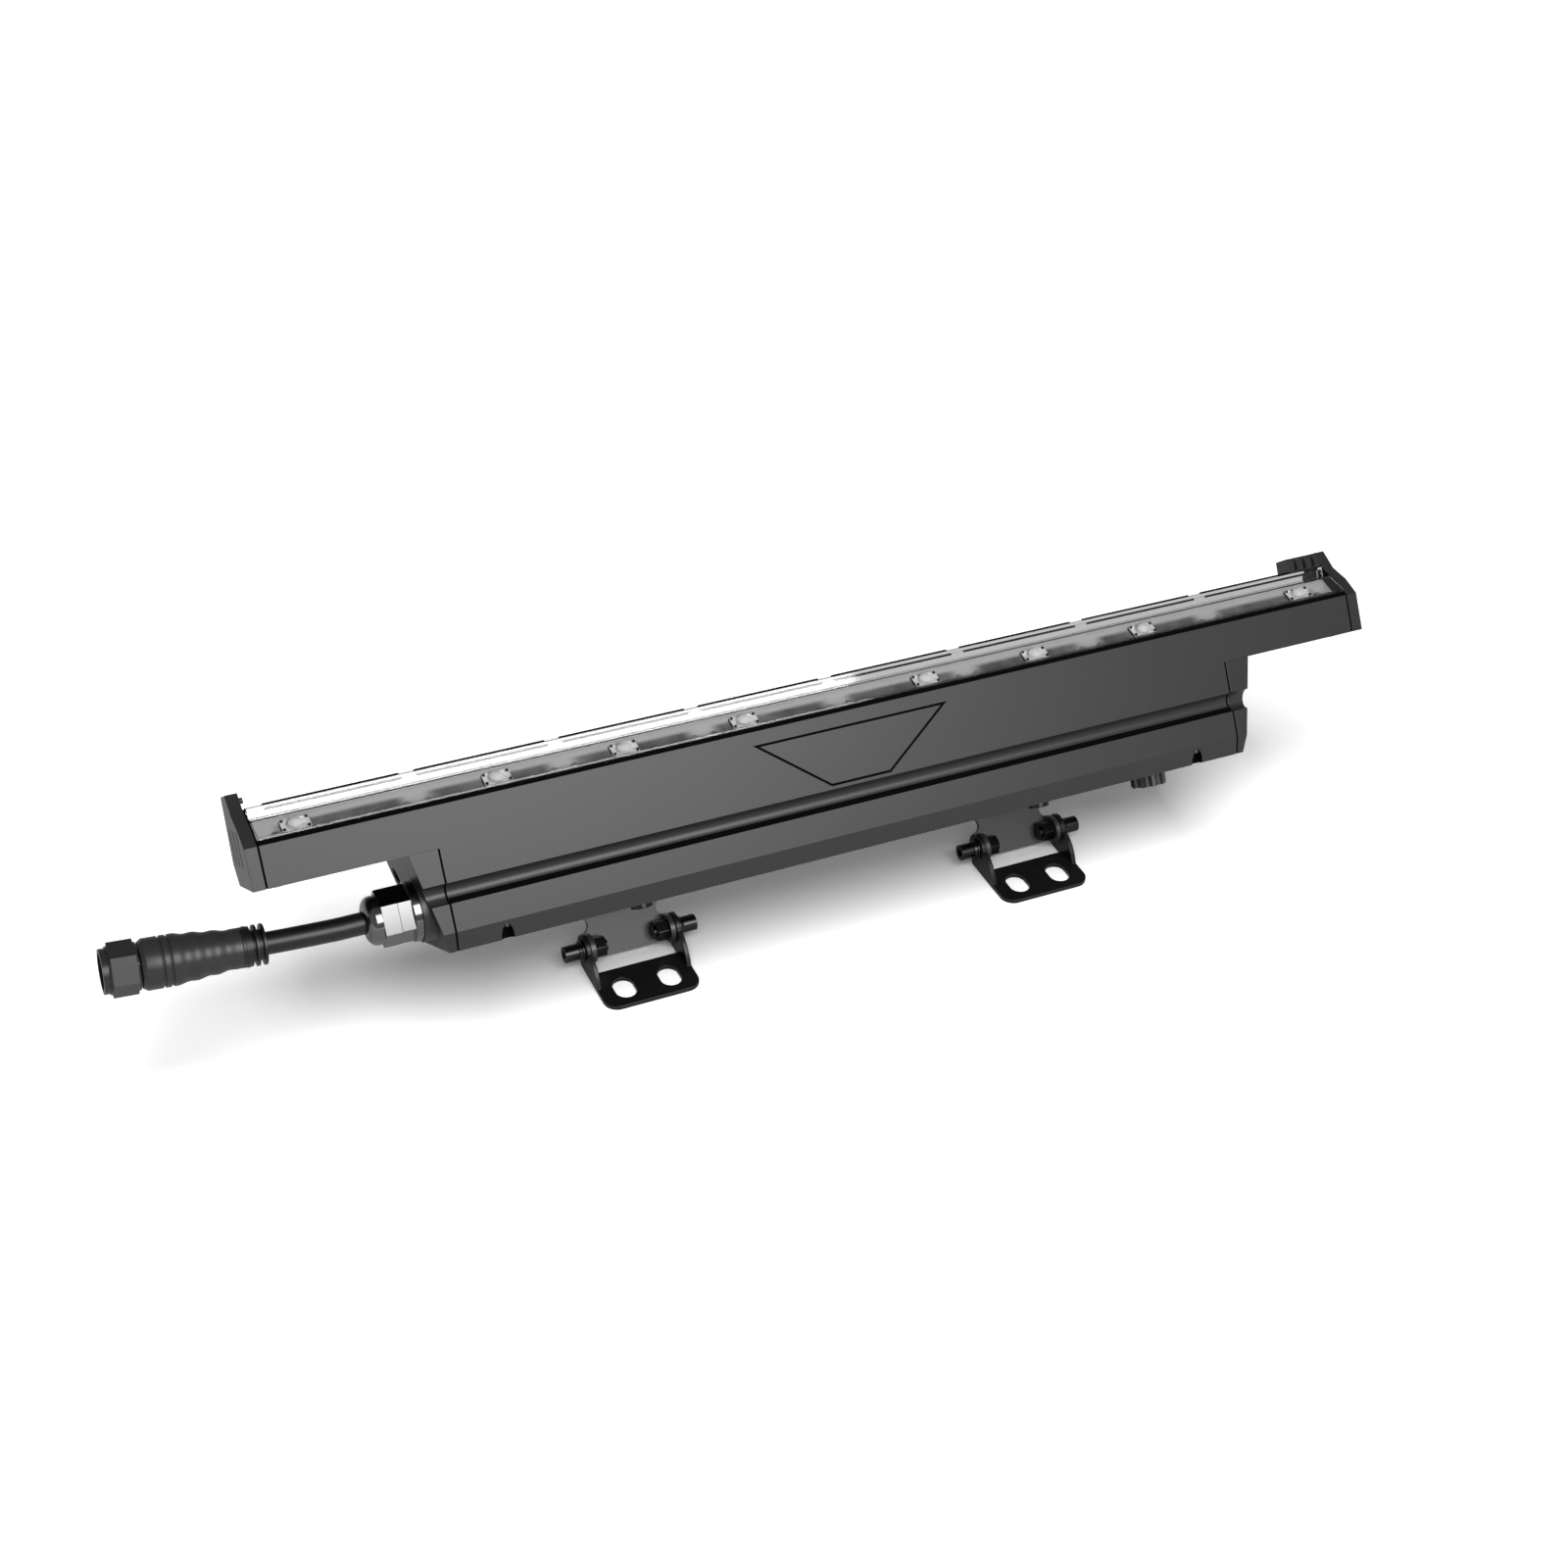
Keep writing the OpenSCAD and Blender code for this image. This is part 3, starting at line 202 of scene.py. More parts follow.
@dataclass(frozen=True)
class Finish:
    """An opaque finish whose grain is given in real millimetres.

    Two noises on Object coordinates vary the colour, and the fine one also
    varies the roughness and lifts a low bump.
    """

    name: str
    colour: str
    shade: str
    roughness: float
    metallic: float = 0.0
    grain_mm: float = 0.6
    grain_detail: float = 3.0
    grain_rough: float = 0.6
    bump_mm: float = 0.01
    bump_share: float = 0.5
    rough_spread: float = 0.06
    cloud_mm: float = 40.0
    cloud_share: float = 0.55
    specular: float = 0.5

    def build(self) -> Material:
        """Make the material of this finish."""
        material, tree, place = new_material(self.name)
        grain = noise(tree, place, 1.0 / (self.grain_mm * MM), self.grain_detail,
                      self.grain_rough)
        cloud = noise(tree, place, 1.0 / (self.cloud_mm * MM))
        both = calc(tree, "MULTIPLY_ADD", grain, 1.0 - self.cloud_share,
                    calc(tree, "MULTIPLY", cloud, self.cloud_share))
        rough = ramp(tree, grain, 0.0, 1.0, max(self.roughness - self.rough_spread, 0.01),
                     min(self.roughness + self.rough_spread, 1.0))
        bump = add_node(tree, "ShaderNodeBump", {"Strength": self.bump_share, "Distance": self.bump_mm * MM},
                        {"Height": grain})
        shader = add_node(tree, "ShaderNodeBsdfPrincipled",
                          {"Metallic": self.metallic, "Specular IOR Level": self.specular},
                          {"Base Color": blend(tree, both, self.shade, self.colour), "Roughness": rough,
                           "Normal": bump.outputs["Normal"]})
        return surfaced(material, shader)


@dataclass(frozen=True)
class ClearFinish:
    """A clear moulded plastic, which lets the lamps' light through to what lies under it."""

    name: str
    tint: str
    ior: float
    roughness: float
    haze_mm: float = 25.0
    haze_spread: float = 0.03
    shade_share: float = 0.12

    def build(self) -> Material:
        """Make the material of this finish."""
        material, tree, place = new_material(self.name)
        haze = noise(tree, place, 1.0 / (self.haze_mm * MM))
        rough = ramp(tree, haze, 0.0, 1.0, self.roughness, self.roughness + self.haze_spread)
        path = add_node(tree, "ShaderNodeLightPath")
        through = calc(tree, "MULTIPLY_ADD", path.outputs["Is Shadow Ray"], self.shade_share - 1.0, 1.0)
        shader = add_node(tree, "ShaderNodeBsdfPrincipled",
                          {"Base Color": linear(self.tint), "Transmission Weight": 1.0, "IOR": self.ior},
                          {"Roughness": rough, "Alpha": through})
        return surfaced(material, shader)


@dataclass(frozen=True)
class ReflectorFinish:
    """The reflector sheet, pale above, with a patch of painted shade low on each module."""

    name: str
    colour: str
    # Colour of the painted shade low on each module
    painted_shade: str
    roughness: float
    pitch_mm: float = 60.0
    end_mm: float = 4.0
    fade_mm: float = 5.0
    strip_mm: float = 18.2
    painted_shade_share: float = 0.78
    edge_mm: float = 1.3
    cloud_scale: float = 90.0
    cloud_least: float = 0.75
    cloud_from: float = 0.3
    cloud_to: float = 0.7
    metallic: float = 0.25
    shelf_low: Place = (0.0, 2.5, 53.0)
    shelf_high: Place = (0.0, 17.0, 65.5)

    def build(self) -> Material:
        """Make the material of this finish."""
        material, tree, place = new_material(self.name)
        apart = add_node(tree, "ShaderNodeSeparateXYZ", None, {"Vector": place})
        shift = calc(tree, "ADD", apart.outputs["X"], -SEAT.bracket_x * MM)
        wave = calc(tree, "PINGPONG", shift, self.pitch_mm * MM / 2)
        along = ramp(tree, wave, self.end_mm * MM / 2, (self.end_mm + self.fade_mm) * MM, 0.0, 1.0,
                     "SMOOTHSTEP")
        low = SEAT.point(*self.shelf_low)
        up = (SEAT.point(*self.shelf_high) - low).normalized()
        slope = add_node(tree, "ShaderNodeVectorMath", {1: tuple(up)}, {0: place}, operation="DOT_PRODUCT")
        edge = low.dot(up) + self.strip_mm * MM * self.painted_shade_share
        across = ramp(tree, slope.outputs["Value"], edge - self.edge_mm * MM, edge + self.edge_mm * MM,
                      1.0, 0.0, "SMOOTHSTEP")
        soft = ramp(tree, noise(tree, place, self.cloud_scale), self.cloud_from, self.cloud_to,
                    self.cloud_least, 1.0)
        # Painted shade: a soft dark patch low on each module, where the sheet lies in shade
        painted_shade = calc(tree, "MULTIPLY", calc(tree, "MULTIPLY", along, across), soft)
        shader = add_node(tree, "ShaderNodeBsdfPrincipled",
                          {"Metallic": self.metallic, "Roughness": self.roughness},
                          {"Base Color": blend(tree, painted_shade, self.colour, self.painted_shade)})
        return surfaced(material, shader)


AnyFinish = Finish | ClearFinish | ReflectorFinish


class Finishes:
    """Every finish of the light, each made on first use."""

    # Aluminium extrusion, powder coated: a fine matt grain with soft broad highlights
    HOUSING = Finish("powder_coated_aluminium_extrusion", "#363636", "#303030", 0.38, grain_mm=0.35)
    # Die cast end caps in the same coat: small radii catch thin lights
    CAP = Finish("powder_coated_die_cast_cap", "#323232", "#2c2c2c", 0.36, grain_mm=0.35)
    # Pressed sheet steel base plates, black satin powder coat: soft light lies along their bends
    BRACKET = Finish("black_powder_coated_sheet_steel", "#191919", "#121212", 0.36, grain_mm=0.4,
                     specular=0.4)
    # Yokes in a grey powder coat close to the housing's: they read paler than the black plates
    YOKE = Finish("grey_powder_coated_sheet_steel", "#3a3a3a", "#343434", 0.38, grain_mm=0.4,
                  specular=0.7)
    # Blackened socket bolts and nuts: dark metal with sharp small lights
    BOLT = Finish("black_oxide_steel", "#4a4a4a", "#2c2c2c", 0.28, metallic=1.0, grain_mm=0.5, bump_mm=0.004)
    # Nickel plated brass, turned and milled: mirror bright
    NICKEL = Finish("nickel_plated_brass", "#7c7c7c", "#6e6e6e", 0.14, metallic=1.0, grain_mm=1.2,
                    bump_mm=0.001, rough_spread=0.03)
    # Zinc plated screws: bright, slightly clouded
    ZINC = Finish("zinc_plated_steel", "#c6c6c6", "#ababab", 0.28, metallic=1.0, grain_mm=0.4, bump_mm=0.003)
    # Extruded sheath, moulded boot and small seals, all rubber: black with a low sheen
    RUBBER = Finish("black_rubber", "#171717", "#101010", 0.38, grain_mm=0.8)
    # Cut rubber seals in the seams, and the black fills of painted shade in gaps, holes, slots and along the
    # window's rib: matt black, darker than the rubber, so that each seam reads as a dark line of painted
    # shade
    SEAL_AND_SHADE = Finish("matt_black_epdm_seal", "#070707", "#040404", 0.9, grain_mm=0.6, specular=0.06)
    # Moulded nylon connector: dark grey with a fine spark texture
    NYLON = Finish("moulded_dark_nylon", "#373737", "#2d2d2d", 0.36, grain_mm=0.5, bump_mm=0.008)
    # Coupling nut in the same nylon, polished by hands: a little darker and smoother
    NUT = Finish("handled_grey_nylon", "#2f2f2f", "#272727", 0.32, grain_mm=0.5, bump_mm=0.006)
    # Formed reflector sheet, bead blasted: pale, with a soft patch of painted shade low on each module
    REFLECTOR = ReflectorFinish("bead_blasted_reflector_sheet", "#c0c0c0", "#4a4a4a", 0.34)
    # Solder resist on the circuit boards: even white
    BOARD = Finish("white_solder_resist", "#e4e4e4", "#dadada", 0.4, grain_mm=0.5)
    # Silicone over the diodes: pale and matt
    PHOSPHOR = Finish("led_phosphor", "#f0f0ea", "#e6e5dc", 0.5, grain_mm=0.3)
    # Moulded case of the driver: plain grey with a faint grain
    GREY_PLASTIC = Finish("grey_moulded_abs", "#8b8e91", "#7f8285", 0.5)
    # Moulded terminal block: plain off white
    WHITE_PLASTIC = Finish("white_moulded_polyamide", "#d6d6d1", "#cbcbc6", 0.5)
    # Drawn sheath of the leads: even dull red
    RED_SHEATH = Finish("red_wire_sheath", "#a33a32", "#8f2f28", 0.45)
    # Turned contact pins, gold plated: small warm lights
    GOLD = Finish("gold_plated_brass_pin", "#cfa24f", "#b98d3e", 0.22, metallic=1.0, grain_mm=0.5,
                  bump_mm=0.002)
    # Extruded polycarbonate window: clear, its cut edges bright
    WINDOW = ClearFinish("clear_polycarbonate", "#fafafa", 1.52, 0.015)
    # Moulded acrylic lenses: clear with sharp facets
    LENS = ClearFinish("moulded_acrylic_lens", "#fdfdfd", 1.49, 0.01)
    # Lens tops, pale and half metallic in place of clear: their facets mirror the soft box and read as bright
    DOME = Finish("metallised_lens_facets", "#ffffff", "#f6f6f6", 0.06, metallic=0.45, grain_mm=0.8,
                  bump_mm=0.001, rough_spread=0.02)

    def __init__(self) -> None:
        """Start with nothing made."""
        self.made: dict[str, Material] = {}

    def get(self, finish: AnyFinish) -> Material:
        """Give the material of a finish, made on first use."""
        if finish.name not in self.made:
            self.made[finish.name] = finish.build()
        return self.made[finish.name]


FINISHES = Finishes()
SLOTS = {part["node"]: part["material_slot"] for part in frame["record"]["subparts"]}


def linked(name: str, data: bpy.types.ID) -> Piece:
    """Put data into the scene as a new object."""
    holder = bpy.data.objects.new(name, data)
    bpy.context.scene.collection.objects.link(holder)
    return holder


def keep(name: str, mesh: Mesh, stands_for: Sequence[str], finish: AnyFinish | None = None,
         body: Body = Body.LAMP) -> Piece:
    """Link a finished mesh as a piece and tie it to the frame.

    Args:
        name: Name of the piece.
        mesh: Its mesh, already in place.
        stands_for: CAD nodes that it replaces.
        finish: Its finish, or None where the mesh carries one.
        body: Body that it rides on.

    Returns:
        The new object.
    """
    piece = linked(name, mesh)
    mesh.name = name
    if finish is not None:
        mesh.materials.clear()
        mesh.materials.append(FINISHES.get(finish))
    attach(piece, body.value)
    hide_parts(*stands_for)
    LOG.info("%s: %d faces on %s", name, len(mesh.polygons), body.value)
    return piece


def paint(finish: AnyFinish, *nodes: str) -> None:
    """Give CAD nodes their finish, which keep their own shape."""
    for node in nodes:
        node_object = frame["nodes"][node]
        if not node_object.material_slots:
            node_object.data.materials.append(None)
        for part in node_object.material_slots:
            part.material = FINISHES.get(finish)
        LOG.info("%s keeps its shape in %s", node, finish.name)


def plain_mesh(name: str, places: Sequence[Vector], edges: Sequence = (), faces: Sequence = ()) -> Mesh:
    """Make a mesh of points in metres, with edges or faces where they are given."""
    mesh = bpy.data.meshes.new(name)
    mesh.from_pydata([tuple(p) for p in places], edges, faces)
    return mesh


def evaluated(holder: Piece) -> Mesh:
    """Turn an object with modifiers into a plain mesh and drop the object."""
    bpy.context.view_layer.update()
    graph = bpy.context.evaluated_depsgraph_get()
    mesh = bpy.data.meshes.new_from_object(holder.evaluated_get(graph))
    old = holder.data
    holder.modifiers.clear()
    bpy.data.objects.remove(holder)
    if old.users == 0:
        bpy.data.meshes.remove(old)
    return mesh


def finished(shape: Shape, name: str) -> Mesh:
    """Turn a closed shape in the making into a mesh with its faces outwards."""
    mesh = bpy.data.meshes.new(name)
    bmesh.ops.recalc_face_normals(shape, faces=shape.faces)
    shape.to_mesh(mesh)
    shape.free()
    return mesh


def add_ring(shape: Shape, centre: Place, radius: float, sides: int) -> Ring:
    """Add the corners of a level ring to a shape in the making."""
    x, y, z = centre
    return [shape.verts.new((x + radius * math.cos(2 * math.pi * k / sides),
                             y + radius * math.sin(2 * math.pi * k / sides), z)) for k in range(sides)]


def join_rings(shape: Shape, low: Ring, high: Ring) -> None:
    """Join two rings, or a ring and a pole, with a band of faces."""
    for i in range(max(len(low), len(high))):
        j = i + 1
        corners = (low[i % len(low)], low[j % len(low)], high[j % len(high)], high[i % len(high)])
        shape.faces.new(list(dict.fromkeys(corners)))


def add_turned(shape: Shape, profile: Profile, sides: int, x: float = 0.0, y: float = 0.0) -> None:
    """Add a closed turned shape to a shape in the making.

    Args:
        shape: Shape that takes it.
        profile: Radius and height from the lowest ring to the highest, radius 0 for a pole.
        sides: Faces round the axis.
        x: Place of the axis along X.
        y: Place of the axis along Y.
    """
    rings = [add_ring(shape, (x, y, height), radius, sides if radius else 1) for radius, height in profile]
    for low, high in zip(rings, rings[1:]):
        join_rings(shape, low, high)
    for end in (rings[0][::-1], rings[-1]):
        if len(end) > 1:
            shape.faces.new(end)


def broken_edges(mesh: Mesh, width_mm: float, segments: int = 2, angle: float = 30.0) -> Mesh:
    """Round the sharp edges of a closed mesh a little, as a coat or a mould leaves them.

    Args:
        mesh: Mesh in metres, which is used up.
        width_mm: Width of the rounding.
        segments: Faces across it.
        angle: Edges sharper than this are rounded, in degrees.

    Returns:
        The rounded mesh with smooth shading.
    """
    holder = linked("edge_work", mesh)
    bevel = holder.modifiers.new("edges", "BEVEL")
    bevel.width = width_mm * MM
    bevel.segments = segments
    bevel.limit_method = "ANGLE"
    bevel.angle_limit = math.radians(angle)
    bevel.miter_outer = "MITER_ARC"
    flat = holder.modifiers.new("flat_faces", "WEIGHTED_NORMAL")
    flat.keep_sharp = True
    mesh.shade_smooth()
    return evaluated(holder)


def merged_copy(node: str) -> Mesh:
    """Copy a CAD node's mesh, join its loose triangles and drop the lines inside flat faces."""
    merge, flat = 2e-6, math.radians(0.6)
    mesh = frame["nodes"][node].data.copy()
    shape = bmesh.new()
    shape.from_mesh(mesh)
    bmesh.ops.remove_doubles(shape, verts=shape.verts, dist=merge)
    bmesh.ops.dissolve_limit(shape, angle_limit=flat, verts=shape.verts[:], edges=shape.edges[:])
    shape.to_mesh(mesh)
    shape.free()
    return mesh


def soften(node: str, name: str, finish: AnyFinish, width_mm: float = 0.3, segments: int = 2,
           angle: float = 30.0, body: Body = Body.LAMP) -> Piece:
    """Show a CAD node with its edges broken.

    Args:
        node: CAD node that the piece stands for.
        name: Name of the piece.
        finish: Its finish.
        width_mm: Width of the rounding.
        segments: Faces across it.
        angle: Edges sharper than this are rounded, in degrees.
        body: Body that it rides on.

    Returns:
        The new object.
    """
    mesh = broken_edges(merged_copy(node), width_mm, segments, angle)
    return keep(name, mesh, [node], finish, body=body)


# Studio and camera


@dataclass
class Studio:
    """Pale floor, plain soft lights and the camera of the photograph, in metres where not named else."""

    floor_size: float = 8.0
    floor_colour: str = "#5c5c5c"
    floor_near: float = 1.5
    floor_far: float = 2.6
    floor_glass: float = 0.45
    floor_middle: Place = (0.08, 0.0, 0.0)
    floor_near_to: float = 0.38
    floor_far_from: float = 1.1
    fibre_scale: float = 400.0
    fibre_bump: float = 0.0001
    fibre_share: float = 0.1
    floor_watts: float = 42.0
    floor_lamp: Place = (-0.15, -0.85, 1.9)
    floor_aim: Place = (0.05, 0.0, 0.0)
    floor_lamp_size: float = 1.6
    key_watts: float = 12.0
    key_lamp: Place = (0.20, -0.88, 0.84)
    key_aim: Place = (0.08, 0.0, 0.05)
    key_lamp_size: float = 0.75
    room_high: float = 0.24
    room_low: float = 0.30
    room_top: float = 0.8
    room_side: Place = (-0.71, -0.71, 0.0)
    room_dim: float = 0.45
    room_bright: float = 1.25
    camera_place: Place = (-0.28584, -0.71317, 0.67008)
    camera_right: Place = (0.9105, -0.4120, 0.0347)
    camera_forward: Place = (0.3507, 0.7252, -0.5925)
    lens_mm: float = 56.16
    sensor_mm: float = 36.0
    clip_near: float = 0.01
    clip_far: float = 50.0

    def make_camera(self) -> None:
        """Set the camera at the photograph's angle, without depth of field."""
        data = bpy.data.cameras.new("photo_camera")
        data.lens = self.lens_mm
        data.sensor_width = self.sensor_mm
        data.sensor_fit = "HORIZONTAL"
        data.clip_start, data.clip_end = self.clip_near, self.clip_far
        camera = linked("photo_camera", data)
        forward = Vector(self.camera_forward).normalized()
        right = Vector(self.camera_right)
        right = (right - forward * right.dot(forward)).normalized()
        up = right.cross(forward)
        turn = Matrix((right, up, -forward)).transposed().to_4x4()
        camera.matrix_world = Matrix.Translation(Vector(self.camera_place)) @ turn
        bpy.context.scene.camera = camera

    def make_floor(self) -> Piece:
        """Lay a pale floor that stays white in the picture and keeps the shadow."""
        half = self.floor_size / 2
        corners = [Vector((x * half, y * half, 0.0)) for x, y in ((-1, -1), (1, -1), (1, 1), (-1, 1))]
        mesh = plain_mesh("studio_floor", corners, faces=[(0, 1, 2, 3)])
        floor = linked("studio_floor", mesh)
        material, tree, place = new_material("white_seamless_paper")
        bump = add_node(tree, "ShaderNodeBump", {"Strength": self.fibre_share, "Distance": self.fibre_bump},
                        {"Height": noise(tree, place, self.fibre_scale)})
        path = add_node(tree, "ShaderNodeLightPath").outputs
        glass = calc(tree, "MAXIMUM", path["Is Glossy Ray"], path["Is Transmission Ray"])
        seen = calc(tree, "MAXIMUM", glass, path["Is Camera Ray"])
        away = add_node(tree, "ShaderNodeVectorMath", {1: self.floor_middle}, {0: place},
                        operation="DISTANCE")
        level = ramp(tree, away.outputs["Value"], self.floor_near_to, self.floor_far_from,
                     self.floor_near, self.floor_far)
        white = calc(tree, "MULTIPLY", level, ramp(tree, glass, 0.0, 1.0, 1.0, self.floor_glass))
        tone = add_node(tree, "ShaderNodeMix", None, {"Factor": seen, "B": white}, data_type="RGBA")
        tone.inputs["A"].default_value = linear(self.floor_colour)
        paper = add_node(tree, "ShaderNodeBsdfDiffuse", None,
                         {"Color": tone.outputs["Result"], "Normal": bump.outputs["Normal"]})
        mesh.materials.append(surfaced(material, paper))
        return floor

    def make_world(self) -> None:
        """Light the room dimly, a little more from the front left and near the floor."""
        world = bpy.data.worlds.new("studio_room")
        bpy.context.scene.world = world
        world.use_nodes = True
        tree = world.node_tree
        tree.nodes.clear()
        place = add_node(tree, "ShaderNodeTexCoord")
        way = add_node(tree, "ShaderNodeVectorMath", None, {0: place.outputs["Generated"]},
                       operation="NORMALIZE").outputs["Vector"]
        apart = add_node(tree, "ShaderNodeSeparateXYZ", None, {"Vector": way})
        height = ramp(tree, apart.outputs["Z"], 0.0, self.room_top, self.room_low, self.room_high)
        side = add_node(tree, "ShaderNodeVectorMath", {1: self.room_side}, {0: way}, operation="DOT_PRODUCT")
        wall = ramp(tree, side.outputs["Value"], -1.0, 1.0, self.room_dim, self.room_bright)
        path = add_node(tree, "ShaderNodeLightPath")
        seen = add_node(tree, "ShaderNodeMix", None,
                        {"Factor": path.outputs["Is Camera Ray"], "A": calc(tree, "MULTIPLY", height, wall)},
                        data_type="FLOAT")
        seen.inputs["B"].default_value = 1.0
        back = add_node(tree, "ShaderNodeBackground", {"Color": (1.0, 1.0, 1.0, 1.0)},
                        {"Strength": seen.outputs["Result"]})
        add_node(tree, "ShaderNodeOutputWorld", None, {"Surface": back.outputs["Background"]})

    def make_lamp(self, name: str, place: Place, aim: Place, size: float, watts: float) -> Piece:
        """Hang one softbox.

        Args:
            name: Name of the lamp.
            place: Where it hangs, in metres.
            aim: What it points at.
            size: Length of its side.
            watts: Its power.

        Returns:
            The lamp.
        """
        data = bpy.data.lights.new(name, "AREA")
        data.shape = "SQUARE"
        data.size = size
        data.energy = watts
        lamp = linked(name, data)
        lamp.location = place
        lamp.rotation_mode = "QUATERNION"
        lamp.rotation_quaternion = (Vector(aim) - Vector(place)).to_track_quat("-Z", "Y")
        return lamp

    def make(self) -> None:
        """Set up everything round the light."""
        bpy.context.scene.view_settings.view_transform = "Standard"
        self.make_camera()
        floor = self.make_floor()
        self.make_world()
        over = self.make_lamp("floor_softbox", self.floor_lamp, self.floor_aim, self.floor_lamp_size,
                              self.floor_watts)
        key = self.make_lamp("front_softbox", self.key_lamp, self.key_aim, self.key_lamp_size,
                             self.key_watts)
        for lamp, state in ((over, "INCLUDE"), (key, "EXCLUDE")):
            group = bpy.data.collections.new(lamp.name + "_floor")
            group.objects.link(floor)
            group.collection_objects[0].light_linking.link_state = state
            lamp.light_linking.receiver_collection = group


# Pieces that repeat or follow a path, by Geometry Nodes


def node_mesh(name: str, base: Mesh, inputs: Sequence[tuple[str, str, object]],
              build: Callable[[Tree, bpy.types.Node], Socket],
              finish: AnyFinish) -> Mesh:
    """Run a node tree on a base mesh and give the plain mesh that comes out.

    Args:
        name: Name of the tree.
        base: Mesh that the tree starts from.
        inputs: Name, socket type and value of each size.
        build: Adds the tree's own nodes and gives the last geometry socket.
        finish: Finish that the tree sets.

    Returns:
        The mesh, realized and dressed.
    """
    tree = bpy.data.node_groups.new(name, "GeometryNodeTree")
    tree.interface.new_socket("Geometry", in_out="INPUT", socket_type="NodeSocketGeometry")
    sockets = {label: tree.interface.new_socket(label, in_out="INPUT", socket_type=kind)
               for label, kind, _ in inputs}
    dress = tree.interface.new_socket("Finish", in_out="INPUT", socket_type="NodeSocketMaterial")
    tree.interface.new_socket("Geometry", in_out="OUTPUT", socket_type="NodeSocketGeometry")
    start = add_node(tree, "NodeGroupInput")
    last = build(tree, start)
    real = add_node(tree, "GeometryNodeRealizeInstances", None, {"Geometry": last})
    dressed = add_node(tree, "GeometryNodeSetMaterial", None,
                       {"Geometry": real.outputs["Geometry"], "Material": start.outputs["Finish"]})
    add_node(tree, "NodeGroupOutput", None, {0: dressed.outputs["Geometry"]})
    holder = linked(name + "_work", base)
    modifier = holder.modifiers.new("build", "NODES")
    modifier.node_group = tree
    for label, _, value in inputs:
        modifier[sockets[label].identifier] = value
    modifier[dress.identifier] = FINISHES.get(finish)
    return evaluated(holder)


def repeated(name: str, unit: Mesh, places: Sequence[Vector], turn: Matrix,
             finish: AnyFinish) -> Mesh:
    """Set one unit shape at many places, all turned the same way.

    Args:
        name: Name of the node tree.
        unit: Shape of one, in millimetres about its own origin.
        places: Where each one goes, in metres.
        turn: Turn and scale from the unit to the row frame.
        finish: Finish of all of them.

    Returns:
        One mesh of them all.
    """
    unit_object = linked(name + "_unit", unit)
    angles = turn.to_euler()

    def build(tree: Tree, start: bpy.types.Node) -> Socket:
        """Instance the unit on each point."""
        info = add_node(tree, "GeometryNodeObjectInfo", {"As Instance": True},
                        {"Object": start.outputs["Unit"]})
        dots = add_node(tree, "GeometryNodeMeshToPoints", None, {"Mesh": start.outputs["Geometry"]})
        spin = add_node(tree, "FunctionNodeEulerToRotation", None, {"Euler": start.outputs["Turn"]})
        put = add_node(tree, "GeometryNodeInstanceOnPoints", None,
                       {"Points": dots.outputs["Points"], "Instance": info.outputs["Geometry"],
                        "Rotation": spin.outputs["Rotation"], "Scale": start.outputs["Size"]})
        return put.outputs["Instances"]

    mesh = node_mesh(name, plain_mesh(name, places),
                     [("Unit", "NodeSocketObject", unit_object),
                      ("Turn", "NodeSocketVector", tuple(angles)),
                      ("Size", "NodeSocketVector", (MM, MM, MM))], build, finish)
    bpy.data.objects.remove(unit_object)
    return mesh


def shaded(mesh: Mesh, angle: float = 35.0) -> Mesh:
    """Shade a mesh smooth, with its corners kept sharp."""
    mesh.shade_smooth()
    mesh.set_sharp_from_angle(angle=math.radians(angle))
    return mesh


# Cable and connector, made first


@dataclass
class CableRun:
    """The cable from the gland to the connector, in millimetres."""

    diameter: float = 9.0
    gland_end: float = 209.0
    gland_y: float = 17.5
    gland_z: float = 17.5
    length: float = 54.2
    stops: Profile = ((0.0, 0.0), (-10.0, 0.0), (-20.0, 0.4), (-30.0, 0.9), (-38.5, 1.4), (-54.14, 2.48))
    sides: int = 32
    steps: int = 4
    play: float = 0.02

    def route(self) -> list[Vector]:
        """Give the points that the cable follows, in the row frame."""
        points = []
        for (x0, z0), (x1, z1) in zip(self.stops, self.stops[1:]):
            for step in range(self.steps):
                share = step / self.steps
                points.append(SEAT.point(-self.gland_end + x0 + (x1 - x0) * share, self.gland_y,
                                         self.gland_z + z0 + (z1 - z0) * share))
        last_x, last_z = self.stops[-1]
        points.append(SEAT.point(-self.gland_end + last_x, self.gland_y, self.gland_z + last_z))
        return points

    def make(self) -> Piece:
        """Sweep the sheath along the route with a node tree."""
        route = self.route()
        mesh = plain_mesh("cable_route", route, [(i, i + 1) for i in range(len(route) - 1)])

        def build(tree: Tree, start: bpy.types.Node) -> Socket:
            """Sweep a circle along the route and close its ends."""
            line = add_node(tree, "GeometryNodeMeshToCurve", None, {"Mesh": start.outputs["Geometry"]})
            ring = add_node(tree, "GeometryNodeCurvePrimitiveCircle", None,
                            {"Radius": start.outputs["Sheath radius"],
                             "Resolution": start.outputs["Sides"]})
            sweep = add_node(tree, "GeometryNodeCurveToMesh", {"Fill Caps": True},
                             {"Curve": line.outputs["Curve"], "Profile Curve": ring.outputs["Curve"]})
            return sweep.outputs["Mesh"]

        swept = node_mesh("cable_sheath", mesh,
                          [("Sheath radius", "NodeSocketFloat", (self.diameter / 2 - self.play) * MM),
                           ("Sides", "NodeSocketInt", self.sides)], build, Finishes.RUBBER)
        return keep("cable_sheath", shaded(swept, 60.0), ["cable"])


